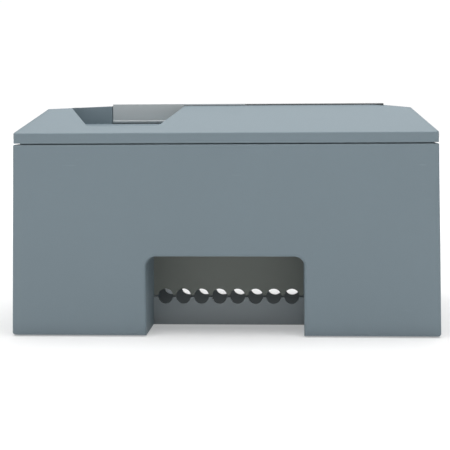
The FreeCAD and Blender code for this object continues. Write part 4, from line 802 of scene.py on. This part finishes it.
@dataclass
class Printer:
    """The paper roll, its web past the platen and the feed motor."""

    thickness: float = 0.09 * MM
    core: float = 8.5 * MM
    ripple: float = 0.12 * MM
    gap: float = 0.2 * MM

    def build(self) -> None:
        """Makes the roll, with a faint ripple of its layers on both ends, the web and the motor."""
        low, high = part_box("paper_roll")
        centre = Vector((low.x, (low.y + high.y) / 2, (low.z + high.z) / 2))
        outer = (high.z - low.z) / 2
        width = high.x - low.x
        wound = outer - self.core
        rows = [(self.core, 0.0)]
        for share in np.linspace(0.05, 1, 24):
            bulge = self.ripple * math.sin(share * 37.0)
            rows.append((self.core + wound * share, bulge * (share < 1)))
        rows += [(outer, width * share) for share in (0.25, 0.5, 0.75, 1.0)]
        for share in np.linspace(1, 0.05, 24)[1:]:
            bulge = self.ripple * math.sin(share * 29.0)
            rows.append((self.core + wound * share, width + bulge))
        rows.append((self.core, width))
        grid = turned(rows, centre, Vector((1, 0, 0)), 96)
        roll = Surface("wound_paper").add(grid, Ends.LOOP).piece("ticket_roll", "paper_white")
        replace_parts(roll, "paper_roll")
        self.web(low, high, outer)
        self.motor()

    def web(self, low: Vector, high: Vector, outer: float) -> None:
        """The sheet that leaves the roll at its top and passes between head and platen."""
        platen_low, platen_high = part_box("platen_roller")
        start = np.array([(low.y + high.y) / 2, high.z + self.gap])
        contact = np.array([platen_low.y - self.gap, (platen_low.z + platen_high.z) / 2])
        rise = np.array([contact[0], platen_high.z + 4 * MM])
        sag = np.array([contact[0] - 6 * MM, start[1] - 1 * MM])
        bend = arc(start, sag, contact, 24)
        line = np.concatenate([bend, contact + (rise - contact) * np.linspace(0.1, 1, 8)[:, None]])
        rows = []
        left, right = low.x + 0.5 * MM, high.x - 0.5 * MM
        for y, z in line:
            back = y + self.thickness
            rows.append([(left, y, z), (right, y, z), (right, back, z), (left, back, z)])
        Surface("paper_web").add(np.array(rows)).piece("housing", "paper_white", False)

    def motor(self) -> None:
        """A stepping motor: a can with a rolled front edge and a groove round its middle."""
        low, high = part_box("feed_motor")
        radius = (high.z - low.z) / 2
        length = high.x - low.x
        start = Vector((low.x, (low.y + high.y) / 2, (low.z + high.z) / 2))
        roll = 1.2 * MM
        rows = [(0.05 * MM, 0.4 * MM), (3 * MM, 0.4 * MM), (3.4 * MM, 0.0), (radius - roll, 0.0)]
        for turn in np.linspace(0, math.pi / 2, 6):
            rows.append((radius - roll + roll * math.sin(turn), roll * (1 - math.cos(turn))))
        for share in (0.46, 0.48, 0.52, 0.54):
            depth = 0.35 * MM if 0.47 < share < 0.53 else 0.0
            rows.append((radius - depth, length * share))
        rows += [(radius, length - 1.0 * MM), (radius - 1.0 * MM, length), (0.05 * MM, length)]
        can = Surface("feed_motor_can").add(turned(rows, start, Vector((1, 0, 0)), 56))
        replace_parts(can.piece("housing", "motor_metal"), "feed_motor")


@dataclass
class Speaker:
    """A small loudspeaker behind the grille: basket, surround, cone and dust cap."""

    def build(self) -> None:
        """The front is turned from the rim inwards, the back is the basket and magnet."""
        low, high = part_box("speaker")
        radius = (high.z - low.z) / 2
        depth = high.y - low.y
        centre = Vector(((low.x + high.x) / 2, high.y, (low.z + high.z) / 2))
        rows = [(0.05 * MM, -2.2 * MM)]
        for turn in np.linspace(0.2, 1.5, 6):
            rows.append((4 * MM * math.sin(turn), -4.2 * MM + 2 * MM * math.cos(turn)))
        rows += [(4.4 * MM, -6 * MM), (radius - 5.5 * MM, -1.8 * MM)]
        for turn in np.linspace(0, math.pi, 9):
            out = radius - 3.9 * MM - 1.6 * MM * math.cos(turn)
            rows.append((out, -1.6 * MM + 1.2 * MM * math.sin(turn)))
        rows += [(radius - 1.6 * MM, -0.4 * MM), (radius - 0.4 * MM, 0.0), (radius, -0.6 * MM),
                 (radius, -2.6 * MM), (15 * MM, -3 * MM), (12 * MM, -8.6 * MM), (9 * MM, -8.8 * MM),
                 (9 * MM, 0.8 * MM - depth), (8.2 * MM, -depth), (0.05 * MM, -depth)]
        grid = turned(rows, centre, Vector((0, 1, 0)), 64)
        thing = Surface("loudspeaker").add(grid[:, ::-1]).piece("housing", "black_plastic")
        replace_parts(thing, "speaker")


@dataclass
class MainBoardParts:
    """Components that stand on the main board."""

    chip_y: tuple[float, float] = (27 * MM, 49 * MM)
    leg_half: float = 0.3 * MM
    leg_thickness: float = 0.18 * MM

    def build(self) -> None:
        """A row of capacitors, and the gull-wing legs along both edges of the largest chip."""
        low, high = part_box("main_board")
        deck = low.z + 1.6 * MM
        cans = Surface("board_capacitors")
        for index in range(5):
            centre = Vector((low.x + (10 + 11 * index) * MM, low.y + 10 * MM, deck))
            rows = [(0.05 * MM, 0.0), (3.2 * MM, 0.0), (3.2 * MM, 0.8 * MM), (2.9 * MM, 1.2 * MM),
                    (3.2 * MM, 1.6 * MM), (3.2 * MM, 8.4 * MM), (2.8 * MM, 8.8 * MM),
                    (0.05 * MM, 8.6 * MM)]
            cans.add(turned(rows, centre, Vector((0, 0, 1)), 32))
        cans.piece("housing", "motor_metal")
        legs = Surface("chip_legs")
        side = np.array([self.leg_half, 0, 0])
        lift = np.array([0, 0, self.leg_thickness])
        for out, edge in zip((-1, 1), self.chip_y):
            for index in range(12):
                x = low.x + (7.2 + 1.8 * index) * MM
                steps = ((-0.6, 1.4), (0.5, 1.4), (0.9, 0.3), (1.8, 0.2))
                path = np.array([(x, low.y + edge + out * reach * MM, deck + rise * MM)
                                 for reach, rise in steps])
                section = (-side, side, side + lift, lift - side)
                grid = np.stack([path + corner for corner in section], axis=1)
                legs.add(grid[:, ::-out])
        legs.piece("housing", "screw_steel", False)


@dataclass
class FareDisplay:
    """The segment figures in the window's screen area."""

    figures: str = "000"
    height: float = 13 * MM
    stroke: float = 0.7 * MM
    rise: float = 0.06 * MM

    def build(self) -> None:
        """Each figure is made of slim hexagonal bars, sunk a little into the window's face."""
        low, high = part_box("reader_window")
        top = high.z - 0.03 * MM
        scale = self.height
        segments = Surface("fare_figures")
        shapes = {"a": (0, 1, 0), "b": (0.5, 0.5, 1), "c": (0.5, -0.5, 1), "d": (0, -1, 0),
                  "e": (-0.5, -0.5, 1), "f": (-0.5, 0.5, 1)}
        lit = {"0": "abcdef"}
        x0 = (low.x + high.x) / 2
        y0 = low.y + (high.y - low.y) * 0.30
        for place, figure in enumerate(self.figures):
            shift = (place - (len(self.figures) - 1) / 2) * scale * 0.85
            for name in lit[figure]:
                u, v, upright = shapes[name]
                at = np.array([x0 - shift - u * scale * 0.5, y0 - v * scale * 0.5, top])
                segments.add(self.bar(at, scale * 0.42, bool(upright)))
        segments.piece("cover", "display_glow", False)

    def bar(self, at: Array, length: float, upright: bool) -> Array:
        """A hexagonal bar, as two rows of six points."""
        half, thick = length / 2, self.stroke
        outline = np.array([(-half, 0), (-half + thick, thick), (half - thick, thick), (half, 0),
                            (half - thick, -thick), (-half + thick, -thick)])
        if upright:
            outline = outline[:, ::-1] * np.array([-1, 1])
        flat = np.column_stack([outline, np.zeros(6)])
        return np.stack([at + flat, at + flat + np.array([0, 0, self.rise])])[:, ::-1]


@dataclass
class RockerMarks:
    """The two plain marks on the power rocker: a bar and a ring."""

    tilt: float = math.radians(12)
    face: float = 5.12 * MM
    off_middle: float = 2.9 * MM

    def build(self) -> None:
        """Both marks lie on the upper and lower faces of the rocker and ride on it."""
        low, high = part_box("power_rocker")
        middle = (low + high) / 2
        for name, sign in (("on_mark", 1), ("off_mark", -1)):
            normal = Vector((0, math.cos(self.tilt), sign * math.sin(self.tilt)))
            along = Vector((0, -sign * math.sin(self.tilt), math.cos(self.tilt)))
            centre = middle + normal * self.face + along * sign * self.off_middle
            surface = Surface(name)
            if sign > 0:
                reach = np.array([0, 0, 1.3 * MM])
                path = np.linspace(np.array(centre) - reach, np.array(centre) + reach, 5)
                path[:, 1] += (path[:, 2] - centre.z) * -math.tan(self.tilt)
                half_u, half_v = 0.3 * MM, 0.1 * MM
                section = np.array([(-half_u, -half_v, 0), (half_u, -half_v, 0),
                                    (half_u, half_v, 0), (-half_u, half_v, 0)])
                surface.add(path[:, None] + section)
            else:
                surface.add(hoop(1.2 * MM, 0.22 * MM, centre, normal), Ends.LOOP)
            surface.piece("rocker", "key_grey")


# ---------------------------------------------------------------- studio

@dataclass
class Studio:
    """Pale floor, white surroundings, soft lamps and the camera."""

    camera_at: tuple[float, float, float] = (0.05284, -1.01724, 0.15923)
    turn: float = -3.294
    tip: float = 5.061
    roll: float = -0.310
    lens: float = 105.7
    surround: float = 0.36
    floor_tone: float = 0.62
    glow_near: float = 0.30
    glow_far: float = 1.0
    reach: float = 6.0
    seen_white: float = 1.02

    def build(self) -> None:
        """Sets up everything that isn't the object."""
        self.floor()
        self.world()
        self.lamp("top_softbox", (0.0, -0.25, 2.0), (1.9, 1.9), 42.0)
        self.lamp("back_softbox", (0.1, 1.9, 2.0), (2.2, 2.2), 17.0)
        self.lamp("front_softbox", (-0.5, -2.2, 1.5), (1.2, 1.2), 1.5)
        self.camera()

    def floor(self) -> None:
        """A wide pale light table with a faint mottle, which glows more further out."""
        graph = Graph("studio_floor")
        pale = (self.floor_tone + 0.03,) * 3
        tone = graph.blend(graph.noise(3.0, 4.0), (self.floor_tone,) * 3, pale)
        out = graph.out("ShaderNodeVectorMath", {"operation": "LENGTH"}, {0: graph.place}, "Value")
        glow = graph.blend(out.above(0.35, 1.6), (self.glow_near,) * 3, (self.glow_far,) * 3)
        material = graph.close(Base_Color=tone, Roughness=0.8 + graph.noise(40.0) * 0.1,
                               Emission_Color=glow, Emission_Strength=1.0)
        mesh = bpy.data.meshes.new("studio_floor")
        sides = ((-1, -1), (1, -1), (1, 1), (-1, 1))
        corners = [(u * self.reach, v * self.reach, 0) for u, v in sides]
        mesh.from_pydata(corners, [], [(0, 1, 2, 3)])
        mesh.materials.append(material)
        floor = bpy.data.objects.new("studio_floor", mesh)
        bpy.context.scene.collection.objects.link(floor)

    def world(self) -> None:
        """White surroundings, which light the object less than they show."""
        world = bpy.data.worlds.new("studio_world")
        world.use_nodes = True
        tree = world.node_tree
        background = tree.nodes["Background"]
        background.inputs[0].default_value = (1.0, 1.0, 1.0, 1.0)
        path = tree.nodes.new("ShaderNodeLightPath")
        strength = tree.nodes.new("ShaderNodeMapRange")
        strength.inputs["To Min"].default_value = self.surround
        strength.inputs["To Max"].default_value = self.seen_white
        tree.links.new(path.outputs["Is Camera Ray"], strength.inputs["Value"])
        tree.links.new(strength.outputs[0], background.inputs[1])
        bpy.context.scene.world = world

    def lamp(self, name: str, at: Sequence[float], size: tuple[float, float], watts: float) -> None:
        """A rectangular soft lamp that faces the object."""
        light = bpy.data.lights.new(name, "AREA")
        light.shape = "RECTANGLE"
        light.size, light.size_y = size
        light.energy = watts
        lamp = bpy.data.objects.new(name, light)
        aim = Vector((0, 0, 0.08)) - Vector(at)
        lamp.rotation_euler = aim.to_track_quat("-Z", "Y").to_euler()
        lamp.location = at
        bpy.context.scene.collection.objects.link(lamp)

    def camera(self) -> None:
        """A long lens low over the floor, a little right of the middle."""
        turn, tip, roll = (math.radians(value) for value in (self.turn, self.tip, self.roll))
        level = Vector((math.sin(turn), math.cos(turn), 0))
        ahead = level * math.cos(tip) - Vector((0, 0, math.sin(tip)))
        right = Vector((math.cos(turn), -math.sin(turn), 0))
        up = right.cross(ahead)
        right, up = (math.cos(roll) * right + math.sin(roll) * up,
                     math.cos(roll) * up - math.sin(roll) * right)
        data = bpy.data.cameras.new("studio_camera")
        data.lens = self.lens
        data.sensor_width = 36.0
        data.clip_start = 0.05
        camera = bpy.data.objects.new("studio_camera", data)
        turn_matrix = Matrix((right, up, -ahead)).transposed().to_4x4()
        camera.matrix_world = Matrix.Translation(self.camera_at) @ turn_matrix
        bpy.context.scene.collection.objects.link(camera)
        bpy.context.scene.camera = camera
        bpy.context.scene.view_settings.view_transform = "Standard"


def main() -> None:
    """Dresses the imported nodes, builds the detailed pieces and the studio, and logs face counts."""
    PAINT.dress_nodes()
    assemblies = (FareKeys(), Fasteners(), Locks(), BailHandle(), Printer(), Speaker(),
                  MainBoardParts(), FareDisplay(), RockerMarks(), Studio())
    for assembly in assemblies:
        assembly.build()
        LOG.info("%s done", type(assembly).__name__)


if __name__ == "__main__":
    main()
